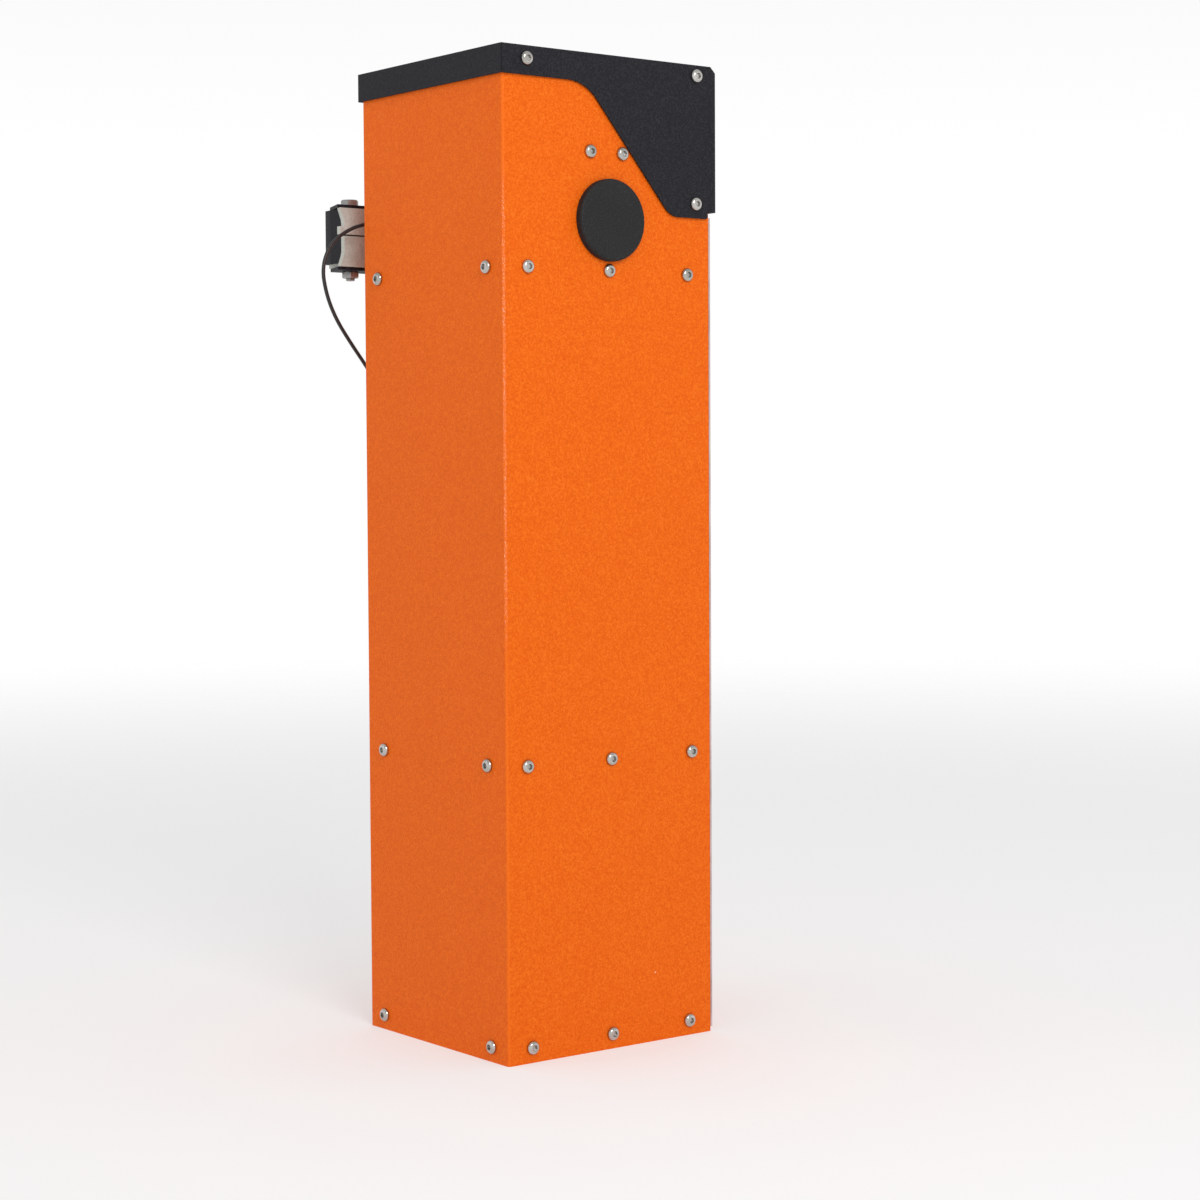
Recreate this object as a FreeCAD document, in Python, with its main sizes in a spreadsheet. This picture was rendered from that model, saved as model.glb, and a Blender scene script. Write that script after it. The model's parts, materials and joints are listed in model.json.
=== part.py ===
import FreeCAD, Part
import math
import os
import re
import Sketcher

# Parking barrier operator: a folded steel cabinet on a floor plate, with a boom shaft through its
# top, a crank drive, a balance spring, a side door, a rain hood and a boom clamp outside.
# Frame: +Z up, origin at the middle of the floor plate's underside. The boom shaft lies along Y,
# the boom clamp is on the +Y side, the door on the +X side. Millimetres and degrees.

doc = FreeCAD.newDocument("barrier_gate")

# ---- driving sizes, one cell each ---------------------------------------------------------------
sizes = {
    # cabinet
    "overall_height": 1000, "cabinet_length": 260, "cabinet_width": 250, "shell_sheet": 1.5,
    "bend_radius": 3, "front_lip": 20, "post_leg": 18, "post_sheet": 2,
    # hood
    "hood_sheet": 1.5, "hood_clearance": 1.5, "hood_band": 28.5, "hood_cheek_drop": 155.5,
    "hood_visor_drop": 148.5, "hood_visor_reach": 8.4, "hood_visor_chamfer": 6,
    "hood_visor_side": 1.8, "hood_cheek_edge": 2.8,
    "hood_notch_start": 100, "hood_cheek_foot": 52, "hood_top_round": 48,
    "hood_foot_round": 22,
    # floor plate, shelves and their screw rows
    "base_thickness": 5, "shelf_sheet": 3, "flange_rise": 24, "base_row": 15.5, "mid_row": 296,
    "drive_row": 786.5, "row_to_shelf": 11, "outer_row_reach": 101, "mid_row_reach": 105,
    "outer_back_reach": 97, "mid_back_reach": 93.5,
    "anchor_spacing_x": 180, "anchor_spacing_y": 170, "anchor_hole": 7,
    "cable_entry_length": 110, "cable_entry_width": 90,
    "drive_window_length": 164, "drive_window_low": 90, "drive_window_high": 70,
    # button head screws
    "screw_radius": 4, "screw_head": 7, "screw_head_rise": 4.4, "screw_length": 16,
    "screw_socket": 2.5, "screw_clearance": 0.2,
    # boom shaft and its bearings
    "axis_height": 836.5, "shaft_radius": 15, "shaft_end_reach": 6, "shaft_end_inset": 2,
    "shaft_hole": 35, "bearing_plate_inset": 19, "bearing_plate_sheet": 6,
    "bearing_plate_length": 206, "bearing_plate_top": 930, "bearing_depth": 18,
    "bearing_ring_radius": 25, "bearing_bolt_reach": 58.5, "bearing_bolt": 5,
    "bearing_lobe": 14, "bearing_body": 40, "bearing_wing": 12,
    "running_clearance": 0.05, "moving_gap": 0.5,
    "spacer_row": 903.5, "spacer_reach": 20.2, "spacer_shift": 2.9, "spacer_radius": 7,
    "cap_radius": 41, "cap_rise": 9, "cap_round": 3.5, "cap_skirt": 9,
    "seal_radius": 42, "seal_rise": 4,
    # crank drive: the crank and the lever are equally long, so the rod keeps its direction
    "crank_height": 640, "arm_reach": 45, "arm_low": -40, "arm_high": -26, "arm_end": 16,
    "hub_radius": 24, "pin_radius": 6, "rod_plane": -17, "rod_eye": 13, "rod_eye_depth": 12,
    "rod_radius": 5.5, "rod_sleeve": 7, "rod_sleeve_length": 90,
    "crank_shaft_radius": 12.5,
    # balance spring and its link
    "spring_plane": -64, "spring_radius": 19, "spring_wire": 5, "spring_low": 362,
    "spring_high": 706, "link_eye": 12, "link_depth": 10, "link_radius": 4.4, "link_foot": 722,
    "eyebolt_top": 346, "eyebolt_radius": 5,
    # stops and limit switches
    "bridge_sheet": 6, "bridge_reach": 100, "buffer_radius": 7.5, "buffer_gap": 0.3,
    "cam_radius": 26, "cam_notch": 22, "cam_width": 8, "cam_pitch": 16, "cam_first": 20,
    "switch_length": 30, "switch_height": 18, "switch_width": 10, "switch_plate": 86,
    "switch_roller": 4,
    # gearbox and motor
    "gear_low": 4, "gear_high": 76, "gear_left": 84, "gear_right": 52, "gear_bottom": 582,
    "gear_top": 698, "gear_wall": 7, "gear_plate_sheet": 6, "gear_plate_reach": 108,
    "worm_offset": 50, "worm_plane": 40, "worm_radius": 13, "worm_reach": 28,
    "worm_shaft_radius": 8, "wheel_radius": 36, "wheel_width": 20,
    "handwheel_radius": 34, "handwheel_low": 708, "handwheel_depth": 14,
    "motor_radius": 52, "motor_low": 420, "motor_fin": 3, "motor_fins": 24, "motor_cap": 30,
    # electronics
    "panel_gap": 3, "box_depth": 62, "box_width": 170, "box_low": 60, "box_height": 190,
    "box_wall": 3, "lid_depth": 14, "transformer_length": 76, "transformer_width": 64,
    "transformer_height": 70, "transformer_x": 24, "transformer_y": 20, "transformer_core": 14,
    "coil_inset": 8, "breaker_rise": 63, "breaker_nose": 22, "breaker_width": 54,
    "breaker_height": 82, "breaker_depth": 60,
    # door, hinges and lock
    "door_sheet": 1.7, "door_gap": 0.4, "door_low": 5, "door_high": 846, "door_return": 12,
    "door_return_inset": 24, "trim_width": 3, "trim_sheet": 2.1,
    "hinge_radius": 4.5, "hinge_pin": 2.5, "hinge_height": 30, "hinge_standoff": 5.7,
    "hinge_first": 120, "hinge_pitch": 310, "lock_height": 430, "lock_reach": 88,
    "lock_radius": 9, "lock_body_depth": 14, "lock_cam_length": 30, "lock_cam_width": 14,
    "lock_cam_sheet": 2.5, "lock_plug": 6,
    # boom clamp
    "clamp_standoff": 35, "clamp_depth": 40, "clamp_reach": 131.5, "clamp_flare": 5,
    "clamp_lip": 6.5,
    "clamp_slit": 0.8, "clamp_rise": 28.8, "clamp_drop": 33, "clamp_lug": 8.4,
    "clamp_flare_rise": 14, "clamp_flare_round": 20, "strap_sheet": 3.5, "strap_reach": 138.5,
    "strap_far_reach": 125.5, "strap_margin": 2, "clamp_bolt_reach": 112, "clamp_bolt": 5,
    "clamp_bolt_head": 8.5, "clamp_bolt_head_rise": 7, "clamp_nut_rise": 7, "clamp_bolt_tail": 3,
    "clamp_core_start": 30, "clamp_core_wall": 9, "clamp_core_roof": 6,
    "boom_plate_sheet": 8, "boom_plate_reach": 126, "boom_plate_rise": 28.3,
    "boom_flange": 5, "boom_flange_taper": 1.2, "boom_flange_straight": 21,
    "boom_hole_spacing_x": 180, "boom_hole_spacing_z": 32, "boom_hole": 5.5,
    # boom light lead
    "lead_radius": 2, "gland_radius": 10, "gland_hex": 12, "gland_rise": 9, "gland_length": 23,
    "gland_x": -40, "gland_z": 668, "connector_radius": 5.5, "connector_length": 34,
    "clip_sheet": 1.5, "clip_width": 8,
}
# sizes that follow from the ones above
derived = {
    "half_length": "cabinet_length / 2", "half_width": "cabinet_width / 2",
    "inner_x": "half_length - shell_sheet", "inner_y": "half_width - shell_sheet",
    "frame_x": "inner_x - post_sheet", "frame_y": "inner_y - post_sheet",
    "shell_top": "overall_height - hood_sheet - 1",
    "mid_top": "mid_row - row_to_shelf", "drive_top": "drive_row - row_to_shelf",
    "plate_out": "half_width - bearing_plate_inset",
    "plate_in": "plate_out - bearing_plate_sheet", "housing_in": "plate_in - bearing_depth",
    "arm_leg": "arm_reach * cos(45)", "spring_x": "arm_leg", "lead_y": "half_width + 12",
    "clamp_low": "half_width + clamp_standoff", "clamp_high": "clamp_low + clamp_depth",
    "boom_face": "clamp_high + boom_plate_sheet",
    "gear_plate_out": "gear_high + gear_plate_sheet", "gear_plate_low": "gear_bottom + 2",
    "shelf_front": "door_in - door_return - 1.5", "clamp_middle": "(clamp_low + clamp_high) / 2",
    "lever_foot": "axis_height - arm_leg - arm_end",
    "bridge_top": "drive_top + bridge_sheet",
    "door_in": "half_length + door_gap", "door_out": "door_in + door_sheet",
    "door_flange_y": "half_width - door_return_inset",
    "hinge_x": "door_in + 1", "hinge_y": "half_width + hinge_standoff",
    "hood_x": "half_length + hood_clearance + hood_sheet",
    "hood_y": "half_width + hood_clearance + hood_sheet",
    "visor_x": "half_length + hood_visor_reach",
    "strap_top": "axis_height + clamp_rise + strap_sheet",
    "strap_foot": "axis_height - clamp_drop - strap_sheet",
    "hood_foot_x": "half_length - hood_cheek_foot", "hood_edge_x": "half_length - hood_cheek_edge",
    "visor_y": "half_width + hood_visor_side",
}


def make_sheet():
    """Writes the driving sizes into the document's spreadsheet."""
    cells = doc.addObject("Spreadsheet::Sheet", "Sizes")
    for row, (name, number) in enumerate(sizes.items(), 1):
        cells.set(f"A{row}", name)
        cells.set(f"B{row}", str(number))
        cells.setAlias(f"B{row}", name)
    doc.recompute()
    return cells


sheet = make_sheet()


def formula(text):
    """Turns a text in plain size names into an expression on the spreadsheet's cells."""
    def swap(match):
        word = match.group(0)
        if word in derived:
            return f"({formula(derived[word])})"
        return f"Sizes.{word}" if word in sizes else word
    return re.sub(r"[a-z][a-z_0-9]*", swap, str(text))


def value(text):
    """The number that a text in plain size names stands for."""
    return float(sheet.evalExpression(formula(text)))


# ---- building blocks ----------------------------------------------------------------------------
turns = {
    "x": FreeCAD.Rotation(FreeCAD.Vector(0, 1, 0), 90),
    "y": FreeCAD.Rotation(FreeCAD.Vector(1, 0, 0), -90),
    "z": FreeCAD.Rotation(),
}
across = {"x": "yz", "y": "xz", "z": "xy"}
planes = {"z": "XY_Plane", "y": "XZ_Plane", "x": "YZ_Plane"}


def unique(name):
    return name if doc.getObject(name) is None else unique(name + "_")


def place(thing, spots):
    for axis, text in spots.items():
        thing.setExpression(f"Placement.Base.{axis}", formula(text))


def block(name, x, y, z):
    """A box between a low and a high text on each axis."""
    thing = doc.addObject("Part::Box", unique(name))
    for side, (low, high) in zip(("Length", "Width", "Height"), (x, y, z)):
        thing.setExpression(side, formula(f"({high}) - ({low})"))
    place(thing, {"x": x[0], "y": y[0], "z": z[0]})
    return thing


def drum(name, axis, centre, span, radius):
    """A cylinder along an axis, with its centre on the two other axes in X, Y, Z order."""
    thing = doc.addObject("Part::Cylinder", unique(name))
    thing.Placement.Rotation = turns[axis]
    thing.setExpression("Radius", formula(radius))
    thing.setExpression("Height", formula(f"({span[1]}) - ({span[0]})"))
    place(thing, {**dict(zip(across[axis], centre)), axis: span[0]})
    return thing


def hexagon(name, axis, centre, span, flat):
    """A hexagonal prism, with flat as half the distance across its flats."""
    thing = doc.addObject("Part::Prism", unique(name))
    thing.Placement.Rotation = turns[axis]
    thing.Polygon = 6
    thing.setExpression("Circumradius", formula(f"({flat}) / cos(30)"))
    thing.setExpression("Height", formula(f"({span[1]}) - ({span[0]})"))
    place(thing, {**dict(zip(across[axis], centre)), axis: span[0]})
    return thing


def fuse(name, things):
    thing = doc.addObject("Part::MultiFuse", unique(name))
    thing.Shapes = things
    return thing


def cut(name, base, tools):
    thing = doc.addObject("Part::Cut", unique(name))
    thing.Base = base
    thing.Tool = tools[0] if len(tools) == 1 else fuse(name + "_tools", tools)
    return thing


def group(name, things):
    """Separate solids of one kind that share a node."""
    thing = doc.addObject("Part::Compound", unique(name))
    thing.Links = things
    return thing


def rounded(name, thing, radius, wanted):
    """Fillets the edges that wanted(edge) picks."""
    doc.recompute()
    result = doc.addObject("Part::Fillet", unique(name))
    result.Base = thing
    size = value(radius)
    result.Edges = [(i, size, size) for i, edge in enumerate(thing.Shape.Edges, 1) if wanted(edge)]
    return result


def bind(sketch, kind, value_text, *where):
    """Adds a sketch constraint whose value follows the spreadsheet."""
    number = value(value_text)
    index = sketch.addConstraint(Sketcher.Constraint(kind, *where, number))
    sketch.setExpression(f"Constraints[{index}]", formula(value_text))


def draw(body, axis, height, outline=(), circles=()):
    """A sketch across an axis: a closed outline of straight sides and round holes in it."""
    sketch = body.newObject("Sketcher::SketchObject", unique(body.Name + "_sketch"))
    plane = [f for f in body.Origin.OriginFeatures if f.Role == planes[axis]][0]
    sketch.AttachmentSupport = [(plane, "")]
    sketch.MapMode = "FlatFace"
    sign = "-" if axis == "y" else ""
    sketch.setExpression("AttachmentOffset.Base.z", formula(f"{sign}({height})"))
    spots = [FreeCAD.Vector(value(a), value(b), 0) for a, b in outline]
    for i, spot in enumerate(spots):
        sketch.addGeometry(Part.LineSegment(spot, spots[(i + 1) % len(spots)]), False)
    for i in range(len(spots)):
        sketch.addConstraint(Sketcher.Constraint("Coincident", i, 2, (i + 1) % len(spots), 1))
    for i, (a, b) in enumerate(outline):
        bind(sketch, "DistanceX", a, -1, 1, i, 1)
        bind(sketch, "DistanceY", b, -1, 1, i, 1)
    for a, b, radius in circles:
        centre = FreeCAD.Vector(value(a), value(b), 0)
        line = sketch.addGeometry(
            Part.Circle(centre, FreeCAD.Vector(0, 0, 1), value(radius)), False)
        bind(sketch, "DistanceX", a, -1, 1, line, 3)
        bind(sketch, "DistanceY", b, -1, 1, line, 3)
        bind(sketch, "Radius", radius, line)
    return sketch


def slab(name, axis, span, outline, circles=(), corners=()):
    """A plate across an axis, padded between two heights, with some outline corners rounded.
    corners holds pairs of an outline index and a radius."""
    body = doc.addObject("PartDesign::Body", unique(name))
    start = span[1] if axis == "y" else span[0]   # the XZ plane's normal points to -Y
    pad = body.newObject("PartDesign::Pad", unique(name + "_pad"))
    pad.Profile = draw(body, axis, start, outline, circles)
    pad.setExpression("Length", formula(f"({span[1]}) - ({span[0]})"))
    doc.recompute()
    for i, radius in corners:
        a, b = (value(text) for text in outline[i])
        first, second = across[axis]
        solid = body.Tip
        ends = [
            f"Edge{n}" for n, edge in enumerate(solid.Shape.Edges, 1)
            if len(edge.Vertexes) == 2 and all(
                abs(getattr(v, first.upper()) - a) < 0.01 and
                abs(getattr(v, second.upper()) - b) < 0.01 for v in edge.Vertexes)]
        fillet = body.newObject("PartDesign::Fillet", unique(name + "_round"))
        fillet.Base = (solid, ends)
        fillet.setExpression("Radius", formula(radius))
        doc.recompute()
    return body


def turned(name, axis, centre, points):
    """A solid of revolution about an axis line through centre, from points of radius and place."""
    body = doc.addObject("PartDesign::Body", unique(name))
    revolve = body.newObject("PartDesign::Revolution", unique(name + "_turn"))
    if axis == "y":     # drawn on the XY plane: radius along X, place along Y
        outline = [(r, p) for r, p in points]
        revolve.Profile = draw(body, "z", "0", outline)
        revolve.ReferenceAxis = (revolve.Profile[0], ["V_Axis"])
        place(body, {"x": centre[0], "z": centre[1]})
    else:               # about Z, drawn on the XZ plane: radius along X, place along Z
        revolve.Profile = draw(body, "y", "0", [(r, p) for r, p in points])
        revolve.ReferenceAxis = (revolve.Profile[0], ["V_Axis"])
        place(body, {"x": centre[0], "y": centre[1]})
    revolve.Angle = 360
    return body


parts = {}


def keep(name, thing):
    """Names a finished sub-part; its label is its node's and file's name."""
    thing.Label = name
    parts[name] = thing
    return thing


def both(low, high):
    """The two mirrored spans of a size about zero."""
    return ((f"-({high})", f"-({low})"), (low, high))


# ---- places that more than one piece uses -------------------------------------------------------
rows = (("base_row", "outer_row_reach", "outer_back_reach"),
        ("mid_row", "mid_row_reach", "mid_back_reach"),
        ("drive_row", "outer_row_reach", "outer_back_reach"))
side_screws = [(x, row) for row, reach, _ in rows for x in (f"-{reach}", "0", reach)]
spacer_spots = [(f"{sign}spacer_reach - spacer_shift", "spacer_row") for sign in ("-", "")]
back_screws = [(y, row) for row, _, reach in rows for y in (f"-{reach}", reach)]
hood_screws = [("-103", "overall_height - 12.5"), ("half_length - 18", "overall_height - 11"),
               ("half_length - 19.5", "overall_height - hood_cheek_drop + 14.5")]


# ---- cabinet and frame --------------------------------------------------------------------------
def cabinet_shell():
    outer = block("shell_block", ("-half_length", "half_length"),
                  ("-half_width", "half_width"), ("0", "shell_top"))
    bent = rounded("shell_bends", outer, "bend_radius", lambda edge: all(
        abs(v.X + value("half_length")) < 0.01 for v in edge.Vertexes)
        and abs(edge.tangentAt(edge.FirstParameter).z) > 0.9)
    tools = [block("shell_inside", ("-inner_x", "inner_x"), ("-inner_y", "inner_y"),
                   ("-1", "shell_top + 1")),
             block("shell_doorway", ("inner_x - 1", "half_length + 1"),
                   ("front_lip - half_width", "half_width - front_lip"), ("-1", "door_high"))]
    wide = ("-half_width - 1", "half_width + 1")
    hole = "screw_radius + screw_clearance"
    tools.append(drum("shaft_way", "y", ("0", "axis_height"), wide, "shaft_hole"))
    for x, z in side_screws + spacer_spots + hood_screws:
        tools.append(drum("side_hole", "y", (x, z), wide, hole))
    for y, z in back_screws:
        tools.append(drum("back_hole", "x", (y, z), ("-half_length - 1", "0"), hole))
    tools.append(drum("gland_hole", "y", ("gland_x", "gland_z"), ("0", wide[1]),
                      "gland_radius - 2"))
    keep("cabinet_shell", cut("cabinet_shell", bent, tools))


def corner_posts():
    """Four steel angles that stand on the floor plate, one in each corner."""
    posts = []
    for xs in both("inner_x - post_leg", "inner_x"):
        for ys in both("inner_y - post_leg", "inner_y"):
            solid = block("post_block", xs, ys, ("base_thickness", "door_high - 4"))
            inner_x = (xs[0], f"({xs[1]}) - post_sheet")
            inner_y = (ys[0], f"({ys[1]}) - post_sheet")
            if xs[0].startswith("-"):
                inner_x = (f"({xs[0]}) + post_sheet", xs[1])
            if ys[0].startswith("-"):
                inner_y = (f"({ys[0]}) + post_sheet", ys[1])
            hollow = block("post_hollow", inner_x, inner_y, ("0", "shell_top"))
            posts.append(cut("post", solid, [hollow]))
    keep("corner_posts", group("corner_posts", posts))


def tray(name, low, high, row, reach, back_reach, front, windows, holes=()):
    """A shelf between the posts with an upturned flange on three sides, screwed to the shell."""
    flange_y = "inner_y - post_leg - 0.5"
    flange_x = "inner_x - post_leg - 0.5"
    solids = [block(name + "_plate", ("-frame_x", front), ("-frame_y", "frame_y"), (low, high))]
    for ys in both("frame_y", "inner_y"):
        solids.append(block(name + "_side", (f"-({flange_x})", flange_x), ys,
                            (low, f"{low} + flange_rise")))
    solids.append(block(name + "_back", ("-inner_x", "-frame_x"), (f"-({flange_y})", flange_y),
                        (low, f"{low} + flange_rise")))
    hole = "screw_radius + screw_clearance"
    tools = list(windows)
    for x in (f"-{reach}", "0", reach):
        tools.append(drum(name + "_hole", "y", (x, row), ("-half_width", "half_width"), hole))
    for y in (f"-{back_reach}", back_reach):
        tools.append(drum(name + "_hole", "x", (y, row), ("-half_length", "0"), hole))
    for x, y, radius in holes:
        tools.append(drum(name + "_bore", "z", (x, y), (f"{low} - 1", f"{high} + 1"), radius))
    keep(name, cut(name, fuse(name + "_body", solids), tools))


def floor_and_shelves():
    entry = block("cable_entry", ("-cable_entry_length / 2", "cable_entry_length / 2"),
                  ("-cable_entry_width / 2", "cable_entry_width / 2"), ("-1", "base_thickness + 1"))
    anchors = [(f"{a}anchor_spacing_x / 2", f"{b}anchor_spacing_y / 2", "anchor_hole")
               for a in ("-", "") for b in ("-", "")]
    tray("base_plate", "0", "base_thickness", "base_row", "outer_row_reach",
         "outer_back_reach", "frame_x", [entry], anchors)
    wire_way = block("wire_way", ("-100", "-40"), ("-30", "30"), ("mid_top - 10", "mid_top + 1"))
    tray("mid_shelf", "mid_top - shelf_sheet", "mid_top", "mid_row", "mid_row_reach",
         "mid_back_reach", "shelf_front", [wire_way],
         [("spring_x", "spring_plane", "eyebolt_radius + 0.2")])
    window = block("drive_window", ("-drive_window_length / 2", "drive_window_length / 2"),
                   ("-drive_window_low", "drive_window_high"), ("drive_top - 10", "drive_top + 1"))
    tray("drive_shelf", "drive_top - shelf_sheet", "drive_top", "drive_row", "outer_row_reach",
         "outer_back_reach", "shelf_front", [window])


def bearing_side(side, sign):
    """One bearing plate, its flange bearing and the spacers that hold the shell to it."""
    def across_y(low, high):
        return (low, high) if sign > 0 else (f"-({high})", f"-({low})")
    bolts = [(f"{s}bearing_bolt_reach", "axis_height", "bearing_bolt + 0.3") for s in ("-", "")]
    screws = [(x, z, "screw_radius + screw_clearance") for x, z in spacer_spots]
    half = "bearing_plate_length / 2"
    keep(f"bearing_plate_{side}", slab(
        f"bearing_plate_{side}", "y", across_y("plate_in", "plate_out"),
        [(f"-{half}", "drive_top"), (half, "drive_top"), (half, "bearing_plate_top - 30"),
         (f"{half} - 30", "bearing_plate_top"), (f"30 - {half}", "bearing_plate_top"),
         (f"-{half}", "bearing_plate_top - 30")],
        [("0", "axis_height", "bearing_ring_radius + 6")] + bolts + screws))
    span = across_y("housing_in", "plate_in")
    thick = across_y("plate_in - bearing_wing", "plate_in")
    solids = [drum("housing_boss", "y", ("0", "axis_height"), span, "bearing_body")]
    wing = "bearing_bolt_reach"
    solids.append(block("housing_wing", (f"-{wing}", wing), thick,
                        ("axis_height - bearing_lobe", "axis_height + bearing_lobe")))
    for s in ("-", ""):
        solids.append(drum("housing_lobe", "y", (f"{s}{wing}", "axis_height"), thick,
                           "bearing_lobe"))
    full = across_y("housing_in - 1", "plate_in + 1")
    tools = [drum("housing_bore", "y", ("0", "axis_height"), full,
                  "bearing_ring_radius + running_clearance")]
    for x, z, radius in bolts:
        tools.append(drum("housing_hole", "y", (x, z), full, radius))
    keep(f"bearing_housing_{side}",
         cut(f"bearing_housing_{side}", fuse("housing_body", solids), tools))


def spacers_and_bolts():
    """Tubes between the shell and the bearing plates, and the bearings' hexagon bolts."""
    tubes = []
    for ys in both("plate_out", "inner_y"):
        for x, z in spacer_spots:
            tube = drum("spacer_tube", "y", (x, z), ys, "spacer_radius")
            bore = drum("spacer_bore", "y", (x, z), ys, "screw_radius + screw_clearance")
            tubes.append(cut("spacer", tube, [bore]))
    keep("shell_spacers", group("shell_spacers", tubes))
    bolts = []
    wing = "plate_in - bearing_wing"
    shanks = both(wing, "plate_out")
    heads = both(f"{wing} - clamp_bolt_head_rise", wing)
    for shank_ends, head_ends in zip(shanks, heads):
        for s in ("-", ""):
            spot = (f"{s}bearing_bolt_reach", "axis_height")
            bolts.append(fuse("bearing_bolt_part", [
                drum("bearing_shank", "y", spot, shank_ends, "bearing_bolt"),
                hexagon("bearing_head", "y", spot, head_ends, "clamp_bolt_head")]))
    keep("bearing_bolts", group("bearing_bolts", bolts))


# ---- boom shaft and what turns with it ----------------------------------------------------------
def boom_shaft():
    keep("boom_shaft", drum("boom_shaft", "y", ("0", "axis_height"),
                            ("-(plate_out + shaft_end_reach)", "clamp_high - shaft_end_inset"),
                            "shaft_radius"))
    rings = []
    for span in both("housing_in - 4", "plate_in"):
        ring = drum("ring_block", "y", ("0", "axis_height"), span, "bearing_ring_radius")
        bore = drum("ring_bore", "y", ("0", "axis_height"), span, "shaft_radius")
        rings.append(cut("bearing_ring", ring, [bore]))
    keep("bearing_rings", group("bearing_rings", rings))


def arm(name, spot, ends, bore):
    """A cranked arm: a hub on spot and round ends at the listed offsets, all one plate."""
    span = ("arm_low", "arm_high")
    x, z = spot
    solids = [drum(name + "_hub", "y", (x, z), span, "hub_radius")]
    for dx, dz in ends:
        solids.append(drum(name + "_end", "y", (f"{x} + {dx}", f"{z} + {dz}"), span, "arm_end"))
        bar = doc.addObject("Part::Box", unique(name + "_bar"))
        bar.setExpression("Length", formula("arm_reach"))
        bar.setExpression("Width", formula("arm_high - arm_low"))
        bar.setExpression("Height", formula("arm_end * 2"))
        angle = math.degrees(math.atan2(value(dz), value(dx)))
        bar.Placement.Rotation = FreeCAD.Rotation(FreeCAD.Vector(0, 1, 0), -angle)
        lean_x, lean_z = math.sin(math.radians(angle)), math.cos(math.radians(angle))
        place(bar, {"x": f"{x} + arm_end * {lean_x}", "y": "arm_low",
                    "z": f"{z} - arm_end * {lean_z}"})
        solids.append(bar)
    wide = ("arm_low - 1", "arm_high + 1")
    tools = [drum(name + "_bore", "y", (x, z), wide, bore)]
    for dx, dz in ends:
        tools.append(drum(name + "_eye", "y", (f"{x} + {dx}", f"{z} + {dz}"), wide, "pin_radius"))
    return cut(name, fuse(name + "_body", solids), tools)


def lever_and_pins():
    ends = [("-arm_leg", "-arm_leg"), ("arm_leg", "arm_leg")]
    keep("drive_lever", arm("drive_lever", ("0", "axis_height"), ends, "shaft_radius"))
    rod_pin = drum("rod_pin", "y", ("-arm_leg", "axis_height - arm_leg"),
                   ("arm_low - 4", "rod_plane + rod_eye_depth / 2 + 1"), "pin_radius")
    spring_pin = drum("spring_pin", "y", ("arm_leg", "axis_height + arm_leg"),
                      ("spring_plane - link_depth / 2 - 1", "arm_high"), "pin_radius")
    keep("lever_pins", group("lever_pins", [rod_pin, spring_pin]))


def limit_cams():
    """Two notched discs on the shaft, one for each end of the travel."""
    cams = []
    for index, turn in ((0, 0), (1, -90)):
        low = f"cam_first + {index} * cam_pitch"
        span = (low, f"{low} + cam_width")
        disc = drum("cam_disc", "y", ("0", "axis_height"), span, "cam_radius")
        bore = drum("cam_bore", "y", ("0", "axis_height"), span, "shaft_radius")
        notch = block("cam_notch", ("cam_notch", "cam_radius + 1"), span,
                      ("axis_height - 9", "axis_height + 9"))
        if turn:
            notch = block("cam_notch", ("-9", "9"), span,
                          ("axis_height + cam_notch", "axis_height + cam_radius + 1"))
        cams.append(cut("limit_cam", disc, [bore, notch]))
    keep("limit_cams", group("limit_cams", cams))


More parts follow.
